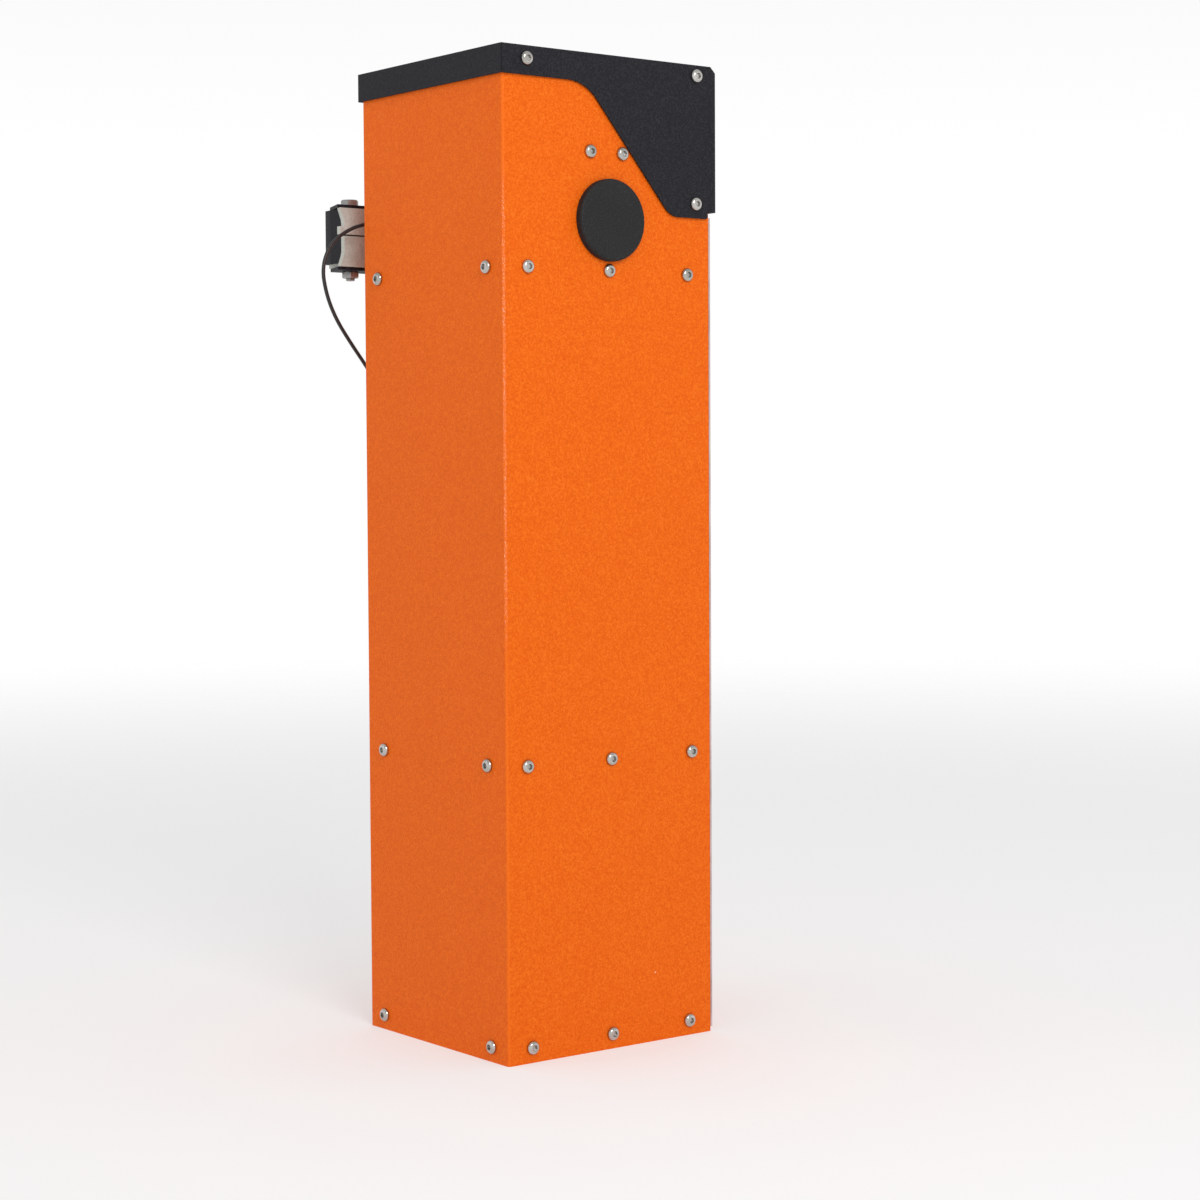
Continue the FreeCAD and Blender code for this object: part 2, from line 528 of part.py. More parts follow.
def boom_clamp():
    """The split clamp on the shaft, its straps and bolts, and the channel that takes the boom."""
    flare, waist = "clamp_reach + clamp_flare", "clamp_reach"
    rise, floor = "axis_height + clamp_rise", "axis_height - clamp_drop"
    lug = "axis_height + clamp_slit + clamp_lug"
    right = [(flare, "axis_height + clamp_slit"), (flare, lug), (waist, lug),
             (waist, f"{rise} - clamp_flare_rise"), (flare, rise)]
    left = [(f"-({x})", z) for x, z in reversed(right)]
    upper = slab("clamp_upper", "y", ("clamp_low", "clamp_high"), right + left,
                 corners=[(i, "clamp_flare_round") for i in (3, 6)])
    right = [(flare, floor), (waist, f"{floor} + clamp_flare_rise"),
             (waist, "axis_height - clamp_slit")]
    left = [(f"-({x})", z) for x, z in reversed(right)]
    lower = slab("clamp_lower", "y", ("clamp_low", "clamp_high"), right + left,
                 corners=[(i, "clamp_flare_round") for i in (1, 4)])
    wide = ("clamp_low - 1", "clamp_high + 1")
    deep = ("clamp_low + clamp_core_wall", wide[1])
    tall = (f"{floor} - 1", f"{rise} + 1")
    bolt_spots = [(f"{s}clamp_bolt_reach", "clamp_middle") for s in ("-", "")]
    for name, thing, core in (
            ("clamp_upper", upper, ("axis_height + 10", f"{rise} - clamp_core_roof")),
            ("clamp_lower", lower, (f"{floor} + clamp_core_roof", "axis_height - 10"))):
        tools = [drum("clamp_bore", "y", ("0", "axis_height"), wide, "shaft_radius")]
        for spot in bolt_spots:
            tools.append(drum("clamp_hole", "z", spot, tall, "clamp_bolt + 0.3"))
        for xs in both("clamp_core_start", "clamp_bolt_reach - 14"):
            tools.append(block("clamp_core", xs, deep, core))
        for xs in both("boom_plate_reach", f"{flare} + 1"):
            tools.append(block("clamp_step", xs, ("clamp_low + clamp_lip", wide[1]), tall))
        keep(name, cut(name, thing, tools))
    near, far = "clamp_low + strap_margin", "clamp_high - strap_margin"
    outline = [("-strap_reach", near), ("strap_reach", near), ("strap_far_reach", far),
               ("-strap_far_reach", far)]
    holes = [(*spot, "clamp_bolt + 0.3") for spot in bolt_spots]
    straps = [slab("clamp_strap", "z", span, outline, holes)
              for span in ((rise, "strap_top"), ("strap_foot", floor))]
    keep("clamp_straps", group("clamp_straps", straps))
    bolts = []
    for spot in bolt_spots:
        shank = drum("clamp_shank", "z", spot,
                     ("strap_foot - clamp_nut_rise - clamp_bolt_tail", "strap_top"), "clamp_bolt")
        head = hexagon("clamp_head", "z", spot, ("strap_top", "strap_top + clamp_bolt_head_rise"),
                       "clamp_bolt_head")
        nut = hexagon("clamp_nut", "z", spot, ("strap_foot - clamp_nut_rise", "strap_foot"),
                      "clamp_bolt_head")
        bolts.append(fuse("clamp_bolt_part", [shank, head, nut]))
    keep("clamp_bolts", group("clamp_bolts", bolts))
    out, back = "boom_plate_reach + boom_flange", "clamp_high"
    start = "clamp_low + clamp_lip + 0.5"
    right = [("boom_plate_reach", start), (out, start), (out, f"{start} + boom_flange_straight"),
             (f"{out} - boom_flange_taper", back), ("boom_plate_reach - 1", "boom_face")]
    left = [(f"-({x})", y) for x, y in reversed(right)]
    channel = slab("boom_channel", "z", ("axis_height - boom_plate_rise",
                                         "axis_height + boom_plate_rise"),
                   right + left + [("-boom_plate_reach", back), ("boom_plate_reach", back)])
    tools = [drum("boom_hole", "y", (f"{a}boom_hole_spacing_x / 2",
                                     f"axis_height {b} boom_hole_spacing_z / 2"),
                  ("clamp_high - 1", "boom_face + 1"), "boom_hole")
             for a in ("-", "") for b in ("-", "+")]
    keep("boom_plate", cut("boom_plate", channel, tools))


# ---- crank drive --------------------------------------------------------------------------------
def crank_and_rod():
    crank = arm("crank_arm", ("0", "crank_height"), [("-arm_leg", "-arm_leg")],
                "crank_shaft_radius")
    keep("crank_arm", crank)
    keep("crank_pin", drum("crank_pin", "y", ("-arm_leg", "crank_height - arm_leg"),
                           ("arm_low - 4", "rod_plane + rod_eye_depth / 2 + 1"), "pin_radius"))
    keep("crank_shaft", drum("crank_shaft", "y", ("0", "crank_height"),
                             ("arm_low - 2", "gear_high - gear_wall - 0.5"), "crank_shaft_radius"))
    wheel = drum("wheel_disc", "y", ("0", "crank_height"),
                 ("worm_plane - wheel_width / 2", "worm_plane + wheel_width / 2"), "wheel_radius")
    bore = drum("wheel_bore", "y", ("0", "crank_height"), ("0", "gear_high"), "crank_shaft_radius")
    keep("worm_wheel", cut("worm_wheel", wheel, [bore]))
    low, high = "rod_plane - rod_eye_depth / 2", "rod_plane + rod_eye_depth / 2"
    feet = ("crank_height - arm_leg", "axis_height - arm_leg")
    middle = "(axis_height + crank_height) / 2 - arm_leg"
    solids = [drum("rod_bar", "z", ("-arm_leg", "rod_plane"), feet, "rod_radius"),
              hexagon("rod_sleeve", "z", ("-arm_leg", "rod_plane"),
                      (f"{middle} - rod_sleeve_length / 2", f"{middle} + rod_sleeve_length / 2"),
                      "rod_sleeve")]
    tools = []
    for z in feet:
        solids.append(drum("rod_eye", "y", ("-arm_leg", z), (low, high), "rod_eye"))
        tools.append(drum("rod_bore", "y", ("-arm_leg", z), (f"{low} - 1", f"{high} + 1"),
                          "pin_radius + running_clearance"))
    keep("connecting_rod", cut("connecting_rod", fuse("rod_body", solids), tools))


def gearbox():
    wall = "gear_wall"
    outer = block("case_block", ("-gear_left", "gear_right"), ("gear_low", f"gear_high - {wall}"),
                  ("gear_bottom", "gear_top"))
    outer = rounded("case_rounds", outer, "8", lambda edge:
                    abs(edge.tangentAt(edge.FirstParameter).y) > 0.9)
    hollow = block("case_hollow", (f"{wall} - gear_left", f"gear_right - {wall}"),
                   (f"gear_low + {wall}", "gear_high"),
                   (f"gear_bottom + {wall}", f"gear_top - {wall}"))
    way = drum("case_bore", "y", ("0", "crank_height"), ("gear_low - 1", "gear_high"),
               "crank_shaft_radius + running_clearance")
    worm_way = drum("worm_way", "z", ("-worm_offset", "worm_plane"),
                    ("gear_bottom - 1", "gear_top + 1"), "worm_shaft_radius + running_clearance")
    keep("gearbox_case", cut("gearbox_case", outer, [hollow, way, worm_way]))
    cover = block("cover_block", ("-gear_left", "gear_right"), (f"gear_high - {wall}", "gear_high"),
                  ("gear_bottom", "gear_top"))
    keep("gearbox_cover", rounded("gearbox_cover", cover, "8", lambda edge:
                                  abs(edge.tangentAt(edge.FirstParameter).y) > 0.9))
    reach = "gear_plate_reach"
    keep("gearbox_plate", slab(
        "gearbox_plate", "y", ("gear_high", "gear_plate_out"),
        [(f"-{reach}", "gear_plate_low"), (reach, "gear_plate_low"),
         (reach, "drive_top - shelf_sheet"), (f"-{reach}", "drive_top - shelf_sheet")],
        corners=[(0, "10"), (1, "10")]))


def motor():
    """The finned drive motor below the gearbox, its end cap, and the worm shaft that it turns."""
    spot = ("-worm_offset", "worm_plane")
    body = drum("motor_block", "z", spot, ("motor_low", "gear_bottom"), "motor_radius - motor_fin")
    fins = []
    for index in range(sizes["motor_fins"]):
        fin = block("motor_fin", ("0", "motor_radius"), ("-1.2", "1.2"),
                    ("motor_low + 12", "gear_bottom - 14"))
        fin.Placement.Rotation = FreeCAD.Rotation(
            FreeCAD.Vector(0, 0, 1), 360.0 * index / sizes["motor_fins"])
        lean = math.radians(360.0 * index / sizes["motor_fins"])
        place(fin, {"x": f"-worm_offset + {1.2 * math.sin(lean)}",
                    "y": f"worm_plane - {1.2 * math.cos(lean)}", "z": "motor_low + 12"})
        fins.append(fin)
    flange = drum("motor_flange", "z", spot, ("gear_bottom - 10", "gear_bottom"), "motor_radius")
    ring = drum("motor_ring", "z", spot, ("motor_low", "motor_low + 8"), "motor_radius")
    bore = drum("motor_bore", "z", spot, ("motor_low - 1", "gear_bottom + 1"),
                "worm_shaft_radius + 1")
    keep("motor_housing", cut("motor_housing", fuse("motor_body", [body, flange, ring] + fins),
                              [bore]))
    cap = turned("motor_end_cap", "z", spot, [
        ("0", "motor_low - motor_cap"), ("motor_radius - 12", "motor_low - motor_cap"),
        ("motor_radius - 4", "motor_low - motor_cap + 8"), ("motor_radius - 4", "motor_low"),
        ("motor_radius - 6", "motor_low"), ("motor_radius - 6", "motor_low - motor_cap + 9"),
        ("motor_radius - 13", "motor_low - motor_cap + 2"), ("0", "motor_low - motor_cap + 2")])
    keep("motor_end_cap", cap)
    shaft = drum("worm_bar", "z", spot, (
        "motor_low - motor_cap + 6", "handwheel_low + handwheel_depth"), "worm_shaft_radius")
    worm = drum("worm_thread", "z", spot, (
        "crank_height - worm_reach", "crank_height + worm_reach"), "worm_radius")
    fan = drum("motor_fan", "z", spot, ("motor_low - 18", "motor_low - 6"), "motor_radius - 10")
    keep("worm_shaft", fuse("worm_shaft", [shaft, worm, fan]))
    low, high = "handwheel_low", "handwheel_low + handwheel_depth"
    rim = doc.addObject("Part::Torus", unique("wheel_rim"))
    rim.setExpression("Radius1", formula("handwheel_radius - handwheel_depth / 2"))
    rim.setExpression("Radius2", formula("handwheel_depth / 2"))
    place(rim, {"x": spot[0], "y": spot[1], "z": "handwheel_low + handwheel_depth / 2"})
    hub = drum("wheel_hub", "z", spot, (low, high), "worm_shaft_radius + 6")
    spokes = []
    for index in range(3):
        spoke = doc.addObject("Part::Cylinder", unique("wheel_spoke"))
        direction = FreeCAD.Vector(math.cos(index * math.tau / 3), math.sin(index * math.tau / 3), 0)
        spoke.Placement.Rotation = FreeCAD.Rotation(FreeCAD.Vector(0, 0, 1), direction)
        spoke.setExpression("Radius", formula("handwheel_depth / 4"))
        spoke.setExpression("Height", formula("handwheel_radius - handwheel_depth / 2"))
        place(spoke, {"x": spot[0], "y": spot[1], "z": "handwheel_low + handwheel_depth / 2"})
        spokes.append(spoke)
    bore = drum("wheel_hub_bore", "z", spot, (f"{low} - 1", f"{high} + 1"), "worm_shaft_radius")
    keep("handwheel", cut("handwheel", fuse("handwheel_body", [rim, hub] + spokes), [bore]))


# ---- balance spring, stops and switches ---------------------------------------------------------
def balance_spring():
    """The spring as a plain tube, its eyebolt in the shelf and the link down from the lever."""
    spot = ("spring_x", "spring_plane")
    tube = drum("spring_tube", "z", spot, ("spring_low", "spring_high"), "spring_radius")
    bore = drum("spring_bore", "z", spot, ("spring_low - 1", "spring_high + 1"),
                "spring_radius - spring_wire")
    ends = []
    for low, high in (("eyebolt_top", "spring_low + 3"), ("spring_high - 3", "link_foot")):
        ends.append(drum("spring_end", "z", spot, (low, high), "spring_wire / 2"))
    bars = [block("spring_bar", ("spring_x - spring_radius + 2", "spring_x + spring_radius - 2"),
                  ("spring_plane - spring_wire / 2", "spring_plane + spring_wire / 2"),
                  (z, f"{z} + spring_wire"))
            for z in ("spring_low", "spring_high - spring_wire")]
    keep("balance_spring", fuse("balance_spring",
                                [cut("spring_coil", tube, [bore])] + ends + bars))
    stem = drum("eyebolt_stem", "z", spot, ("mid_top - shelf_sheet - 20", "eyebolt_top - 8"),
                "eyebolt_radius")
    eye = hexagon("eyebolt_eye", "z", spot, ("eyebolt_top - 14", "eyebolt_top"), "10")
    nuts = [hexagon("eyebolt_nut", "z", spot, span, "8.5") for span in (
        ("mid_top", "mid_top + 8"), ("mid_top - shelf_sheet - 9", "mid_top - shelf_sheet"))]
    keep("spring_eyebolt", fuse("spring_eyebolt", [stem, eye] + nuts))
    pin_z = "axis_height + arm_leg"
    depth = ("spring_plane - link_depth / 2", "spring_plane + link_depth / 2")
    eye = drum("link_eye", "y", ("spring_x", pin_z), depth, "link_eye")
    bar = drum("link_bar", "z", spot, ("link_foot", pin_z), "link_radius")
    foot = drum("link_collar", "z", spot, ("link_foot", "link_foot + 12"), "link_radius + 3")
    bore = drum("link_bore", "y", ("spring_x", pin_z), ("spring_plane - 10", "spring_plane + 10"),
                "pin_radius + running_clearance")
    keep("spring_link", cut("spring_link", fuse("link_body", [eye, bar, foot]), [bore]))


def stops_and_switches():
    keep("stop_bridge", block("stop_bridge", ("-bridge_reach", "bridge_reach"),
                              ("arm_low - 1", "arm_high + 1"), ("drive_top", "bridge_top")))
    buffers = [drum("stop_buffer", "z", (x, "(arm_low + arm_high) / 2"),
                    ("bridge_top", "lever_foot - buffer_gap"), "buffer_radius")
               for x in ("-arm_leg", "arm_leg")]
    keep("stop_buffers", group("stop_buffers", buffers))
    width = ("cam_first - 6", "cam_first + 30")
    back = block("switch_back", ("switch_plate", "switch_plate + 2"), width,
                 ("drive_top", "axis_height + 16"))
    foot = block("switch_foot", ("switch_plate", "switch_plate + 16"), width,
                 ("drive_top", "drive_top + 2"))
    keep("switch_bracket", fuse("switch_bracket", [back, foot]))
    switches = []
    for index in range(2):
        name = "limit_switch"
        middle = f"cam_first + {index} * cam_pitch + cam_width / 2"
        body = block(name + "_body", ("switch_plate - switch_length", "switch_plate"),
                     (f"{middle} - switch_width / 2", f"{middle} + switch_width / 2"),
                     ("axis_height - switch_height / 2", "axis_height + switch_height / 2"))
        roller_x = "cam_radius + moving_gap + switch_roller"
        stem = block(name + "_stem", (roller_x, "switch_plate - switch_length"),
                     (f"{middle} - 2", f"{middle} + 2"), ("axis_height - 2", "axis_height + 2"))
        roller = drum(name + "_roller", "y", (roller_x, "axis_height"),
                      (f"{middle} - 3", f"{middle} + 3"), "switch_roller")
        switches.append(fuse(name, [body, stem, roller]))
    keep("limit_switches", group("limit_switches", switches))


# ---- electronics --------------------------------------------------------------------------------
def electronics():
    back = "panel_gap - frame_x"
    low, high = "box_low", "box_low + box_height"
    half = "box_width / 2"
    outer = block("box_block", (back, f"{back} + box_depth"), (f"-{half}", half), (low, high))
    hollow = block("box_hollow", (f"{back} + box_wall", f"{back} + box_depth + 1"),
                   (f"box_wall - {half}", f"{half} - box_wall"),
                   (f"{low} + box_wall", f"{high} - box_wall"))
    keep("control_box", cut("control_box", outer, [hollow]))
    lid_low = f"{back} + box_depth"
    lid = block("lid_block", (lid_low, f"{lid_low} + lid_depth"), (f"-{half}", half), (low, high))
    lid = rounded("lid_rounds", lid, "4", lambda edge: min(v.X for v in edge.Vertexes) >
                  value(lid_low) + 1)
    hollow = block("lid_hollow", (f"{lid_low} - 1", f"{lid_low} + lid_depth - box_wall"),
                   (f"box_wall - {half}", f"{half} - box_wall"),
                   (f"{low} + box_wall", f"{high} - box_wall"))
    keep("control_box_lid", cut("control_box_lid", lid, [hollow]))
    board_x = f"{back} + box_depth - 20"
    board = block("board_sheet", (board_x, f"{board_x} + 1.6"), (f"8 - {half}", f"{half} - 8"),
                  (f"{low} + 8", f"{high} - 8"))
    relays = [block("board_relay", (f"{board_x} + 1.6", f"{board_x} + 16"),
                    (f"{y} - 8", f"{y} + 8"), (f"{high} - 40", f"{high} - 18"))
              for y in ("-52", "-26", "0")]
    terminals = block("board_terminals", (f"{board_x} + 1.6", f"{board_x} + 13"),
                      (f"14 - {half}", f"{half} - 14"), (f"{low} + 12", f"{low} + 24"))
    keep("control_board", fuse("control_board", [board, terminals] + relays))
    t_low, t_high = "mid_top", "mid_top + transformer_height"
    end, side = "transformer_x + transformer_length", "transformer_y + transformer_width"
    core = block("transformer_core", ("transformer_x", end), ("transformer_y", side),
                 (t_low, t_high))
    coil = block("transformer_coil", ("transformer_x + coil_inset", f"{end} - coil_inset"),
                 ("transformer_y - coil_inset", f"{side} + coil_inset"),
                 (f"{t_low} + transformer_core", f"{t_high} - transformer_core"))
    keep("transformer", fuse("transformer", [core, coil]))
    face, level = "-inner_x + panel_gap", "mid_top + breaker_rise"
    body = block("breaker_body", (face, f"{face} + breaker_depth - 14"),
                 ("-breaker_width / 2", "breaker_width / 2"),
                 (f"{level} - breaker_height / 2", f"{level} + breaker_height / 2"))
    nose = block("breaker_nose", (face, f"{face} + breaker_depth"),
                 ("-breaker_width / 2", "breaker_width / 2"),
                 (f"{level} - breaker_nose", f"{level} + breaker_nose"))
    keep("circuit_breaker", fuse("circuit_breaker", [body, nose]))


# ---- hood, caps and the light lead --------------------------------------------------------------
def hood():
    """A folded rain hood: a band round the top, deep side cheeks and a visor over the door."""
    top, band = "overall_height", "overall_height - hood_band"
    foot = "overall_height - hood_cheek_drop"
    cheek = [("-hood_x", band), ("hood_notch_start - half_length", band),
             ("hood_foot_x", foot), ("hood_edge_x", foot), ("hood_edge_x", top),
             ("-hood_x", top)]
    sides = [slab("hood_cheek", "y", span, cheek,
                  corners=[(1, "hood_top_round"), (2, "hood_foot_round"), (3, "2.5")])
             for span in both("hood_y - hood_sheet", "hood_y")]
    wide = ("-hood_y", "hood_y")
    solids = [block("hood_top", ("-hood_x", "half_length"), wide, (f"{top} - hood_sheet", top)),
              block("hood_back", ("-hood_x", "hood_sheet - hood_x"), wide, (band, top))]
    chamfer = "hood_visor_chamfer"
    visor_foot = "overall_height - hood_visor_drop"
    visor = slab("hood_visor", "y", ("-visor_y", "visor_y"), [
        ("hood_edge_x", f"{top} - hood_sheet"), ("hood_edge_x", top),
        (f"visor_x - {chamfer}", top), ("visor_x", f"{top} - {chamfer}"), ("visor_x", visor_foot),
        ("visor_x - hood_sheet", visor_foot), ("visor_x - hood_sheet", f"{top} - {chamfer} - 1"),
        (f"visor_x - {chamfer} - 1", f"{top} - hood_sheet")])
    front, crown = "visor_x - hood_sheet / 2", f"{top} - hood_sheet / 2"
    ends = [slab("visor_end", "y", span, [
        ("hood_edge_x", visor_foot), (front, visor_foot), (front, f"{top} - {chamfer}"),
        (f"visor_x - {chamfer}", crown), ("hood_edge_x", crown)])
            for span in both("visor_y - hood_sheet", "visor_y")]
    tops = [block("visor_join", ("hood_edge_x - 4", "hood_edge_x + 4"), span,
                  (f"{top} - hood_sheet", top)) for span in both("half_width", "hood_y")]
    link = [block("cheek_join", ("hood_edge_x - 5", "hood_edge_x"), span, (visor_foot, top))
            for span in both("visor_y - hood_sheet", "hood_y")]
    link += [block("end_join", ("hood_edge_x - 5", "half_length"), span, (visor_foot, top))
             for span in both("visor_y - hood_sheet", "visor_y")]
    whole = fuse("hood_body", sides + solids + [visor] + ends + tops + link)
    tools = [drum("hood_hole", "y", (x, z), ("-hood_y - 1", "hood_y + 1"),
                  "screw_radius + screw_clearance") for x, z in hood_screws]
    keep("hood", cut("hood", whole, tools))


def shaft_covers():
    """The cap over the spare shaft hole on one side and the seal round the shaft on the other."""
    face = "half_width"
    keep("shaft_cover_cap", turned("shaft_cover_cap", "y", ("0", "axis_height"), [
        ("0", f"-{face} - cap_rise"), ("cap_radius - cap_round", f"-{face} - cap_rise"),
        ("cap_radius - 1", f"-{face} - cap_rise + 1.2"), ("cap_radius", f"-{face} - cap_rise + 3"),
        ("cap_radius", f"-{face}"), ("shaft_hole - 0.3", f"-{face}"),
        ("shaft_hole - 0.3", f"cap_skirt - {face}"), ("shaft_hole - 2.5", f"cap_skirt - {face}"),
        ("shaft_hole - 2.5", f"-{face} - cap_rise + 3"), ("0", f"-{face} - cap_rise + 3")]))
    keep("shaft_seal", turned("shaft_seal", "y", ("0", "axis_height"), [
        ("shaft_radius + moving_gap", "half_width - 5"), ("shaft_hole - 0.3", "half_width - 5"),
        ("shaft_hole - 0.3", face), ("seal_radius", face), ("seal_radius", f"{face} + seal_rise - 2"),
        ("seal_radius - 2", f"{face} + seal_rise"),
        ("shaft_radius + moving_gap + 5", f"{face} + seal_rise"),
        ("shaft_radius + moving_gap + 3", f"{face} + seal_rise + 5"),
        ("shaft_radius + moving_gap", f"{face} + seal_rise + 5")]))


# the lead's route, from the gland round to its connector, in the order that it runs
lead_route = [(-40, 148, 668), (-40, 165, 668), (-51, 176, 669), (-69, 178, 674),
              (-88, 171, 685), (-109, 160, 703), (-132.5, 150, 724), (-154.5, 142, 747),
              (-169, 137, 772), (-174.5, 136, 800), (-162, 137, 826), (-138, 137, 841.5),
              (-115, 137, 848), (-97, 137, 849), (-82.3, 137, 849)]


def tube_path(points):
    """Straight runs joined by the largest tangent arcs that they allow; returns wire and radii."""
    spots = [FreeCAD.Vector(*p) for p in points]
    edges, radii, start = [], [], spots[0]
    for before, corner, after in zip(spots, spots[1:], spots[2:]):
        back, ahead = (before - corner), (after - corner)
        run = min(back.Length, ahead.Length)
        back.normalize()
        ahead.normalize()
        turn = math.pi - back.getAngle(ahead)
        trim = 0.45 * run
        first, last = corner + back * trim, corner + ahead * trim
        radii.append(trim / math.tan(turn / 2))
        middle = (back + ahead).normalize()
        centre = corner + middle * (radii[-1] / math.cos(turn / 2))
        crown = centre - middle * radii[-1]
        edges += [Part.LineSegment(start, first).toShape(), Part.Arc(first, crown, last).toShape()]
        start = last
    edges.append(Part.LineSegment(start, spots[-1]).toShape())
    return Part.Wire(edges), radii


def light_lead():
    """The boom light's lead: gland in the wall, the cable, its connector and the clip on the wall."""
    wire, radii = tube_path(lead_route)
    radius = value("lead_radius")
    heading = FreeCAD.Vector(*lead_route[1]) - FreeCAD.Vector(*lead_route[0])
    disc = Part.Wire(Part.makeCircle(radius, FreeCAD.Vector(*lead_route[0]), heading))
    lead = doc.addObject("Part::Feature", "boom_light_lead")
    lead.Shape = wire.makePipeShell([disc], True, False, 2)
    keep("boom_light_lead", lead)
    expected = math.pi * radius ** 2 * wire.Length
    print("lead length", round(wire.Length, 1), "volume ratio",
          round(lead.Shape.Volume / expected, 4), "radii", [round(r) for r in radii])
    spot = ("gland_x", "gland_z")
    outside = ("half_width", "half_width + gland_rise")
    solids = [hexagon("gland_nut", "y", spot, outside, "gland_hex"),
              drum("gland_dome", "y", spot, ("half_width + gland_rise",
                   "half_width + gland_length - 3"), "gland_radius"),
              drum("gland_lip", "y", spot, ("half_width + gland_length - 3",
                   "half_width + gland_length"), "gland_radius - 3"),
              drum("gland_thread", "y", spot, ("half_width - 12", "half_width"),
                   "gland_radius - 2.2"),
              hexagon("gland_locknut", "y", spot, ("inner_y - 5", "inner_y"), "gland_hex")]
    keep("cable_gland", fuse("cable_gland", solids))
    end = lead_route[-1]
    z = str(end[2])
    body = drum("connector_body", "x", ("lead_y", z), (f"{end[0]} + 6", f"{end[0]} + 24"),
                "connector_radius")
    relief = drum("connector_relief", "x", ("lead_y", z), (str(end[0]), f"{end[0]} + 6"),
                  "connector_radius - 1.5")
    collar = hexagon("connector_collar", "x", ("lead_y", z), (f"{end[0]} + 24",
                     f"{end[0]} + connector_length"), "connector_radius - 0.5")
    keep("lead_connector", fuse("lead_connector", [relief, body, collar]))
    middle = f"{end[0]} + 15"
    span = (f"{middle} - clip_width / 2", f"{middle} + clip_width / 2")
    band = drum("clip_band", "x", ("lead_y", z), span, "connector_radius + clip_sheet")
    foot = block("clip_foot", span, ("half_width", "lead_y"),
                 (f"{z} - 16", f"{z} - connector_radius + clip_sheet"))
    foot_cut = block("clip_relief", (f"{middle} - 10", f"{middle} + 10"),
                     ("half_width + clip_sheet", "half_width + 30"),
                     (f"{z} - 20", f"{z} - connector_radius - clip_sheet"))
    bore = drum("clip_bore", "x", ("lead_y", z), (f"{middle} - 10", f"{middle} + 10"),
                "connector_radius")
    stem = block("clip_stem", span, ("half_width", "half_width + clip_sheet"),
                 (f"{z} - 16", f"{z}"))
    arm_part = block("clip_arm", span, ("half_width", "lead_y - connector_radius"),
                     (f"{z} - clip_sheet", z))
    keep("cable_clip", cut("cable_clip", fuse("clip_body", [
        band, cut("clip_foot_part", foot, [foot_cut]), stem, arm_part]), [bore]))


# ---- screws, door, hinges and lock --------------------------------------------------------------
def button_screw(axis, spot, face, sign, length="screw_length"):
    """A button head screw whose head stands on a face; sign tells which way the head looks."""
    out, into = ("+", "-") if sign > 0 else ("-", "+")
    head_end, tip = f"{face} {out} screw_head_rise", f"{face} {into} {length}"
    head = (face, head_end) if sign > 0 else (head_end, face)
    shank = (tip, face) if sign > 0 else (face, tip)
    cap = drum("screw_cap", axis, spot, head, "screw_head")
    cap = rounded("screw_crown", cap, "screw_head_rise - 0.6", lambda edge: len(
        edge.Vertexes) == 1 and abs(getattr(edge.Vertexes[0], axis.upper()) - value(head_end)) < 0.01)
    stem = drum("screw_stem", axis, spot, shank, "screw_radius")
    depth = (f"({head_end}) - 1.6", f"({head_end}) + 1") if sign > 0 else (
        f"({head_end}) - 1", f"({head_end}) + 1.6")
    socket = hexagon("screw_socket", axis, spot, depth, "screw_socket")
    return cut("screw_part", fuse("screw_solid", [cap, stem]), [socket])


def screws():
    shell = []
    for face, sign in (("-half_width", -1), ("half_width", 1)):
        for x, z in side_screws:
            shell.append(button_screw("y", (x, z), face, sign))
        for x, z in spacer_spots:
            shell.append(button_screw("y", (x, z), face, sign,
                                      "(bearing_plate_inset + bearing_plate_sheet)"))
    for y, z in back_screws:
        shell.append(button_screw("x", (y, z), "-half_length", -1))
    keep("shell_screws", group("shell_screws", shell))
    top = [button_screw("y", spot, face, sign) for spot in hood_screws
           for face, sign in (("-hood_y", -1), ("hood_y", 1))]
    keep("hood_screws", group("hood_screws", top))


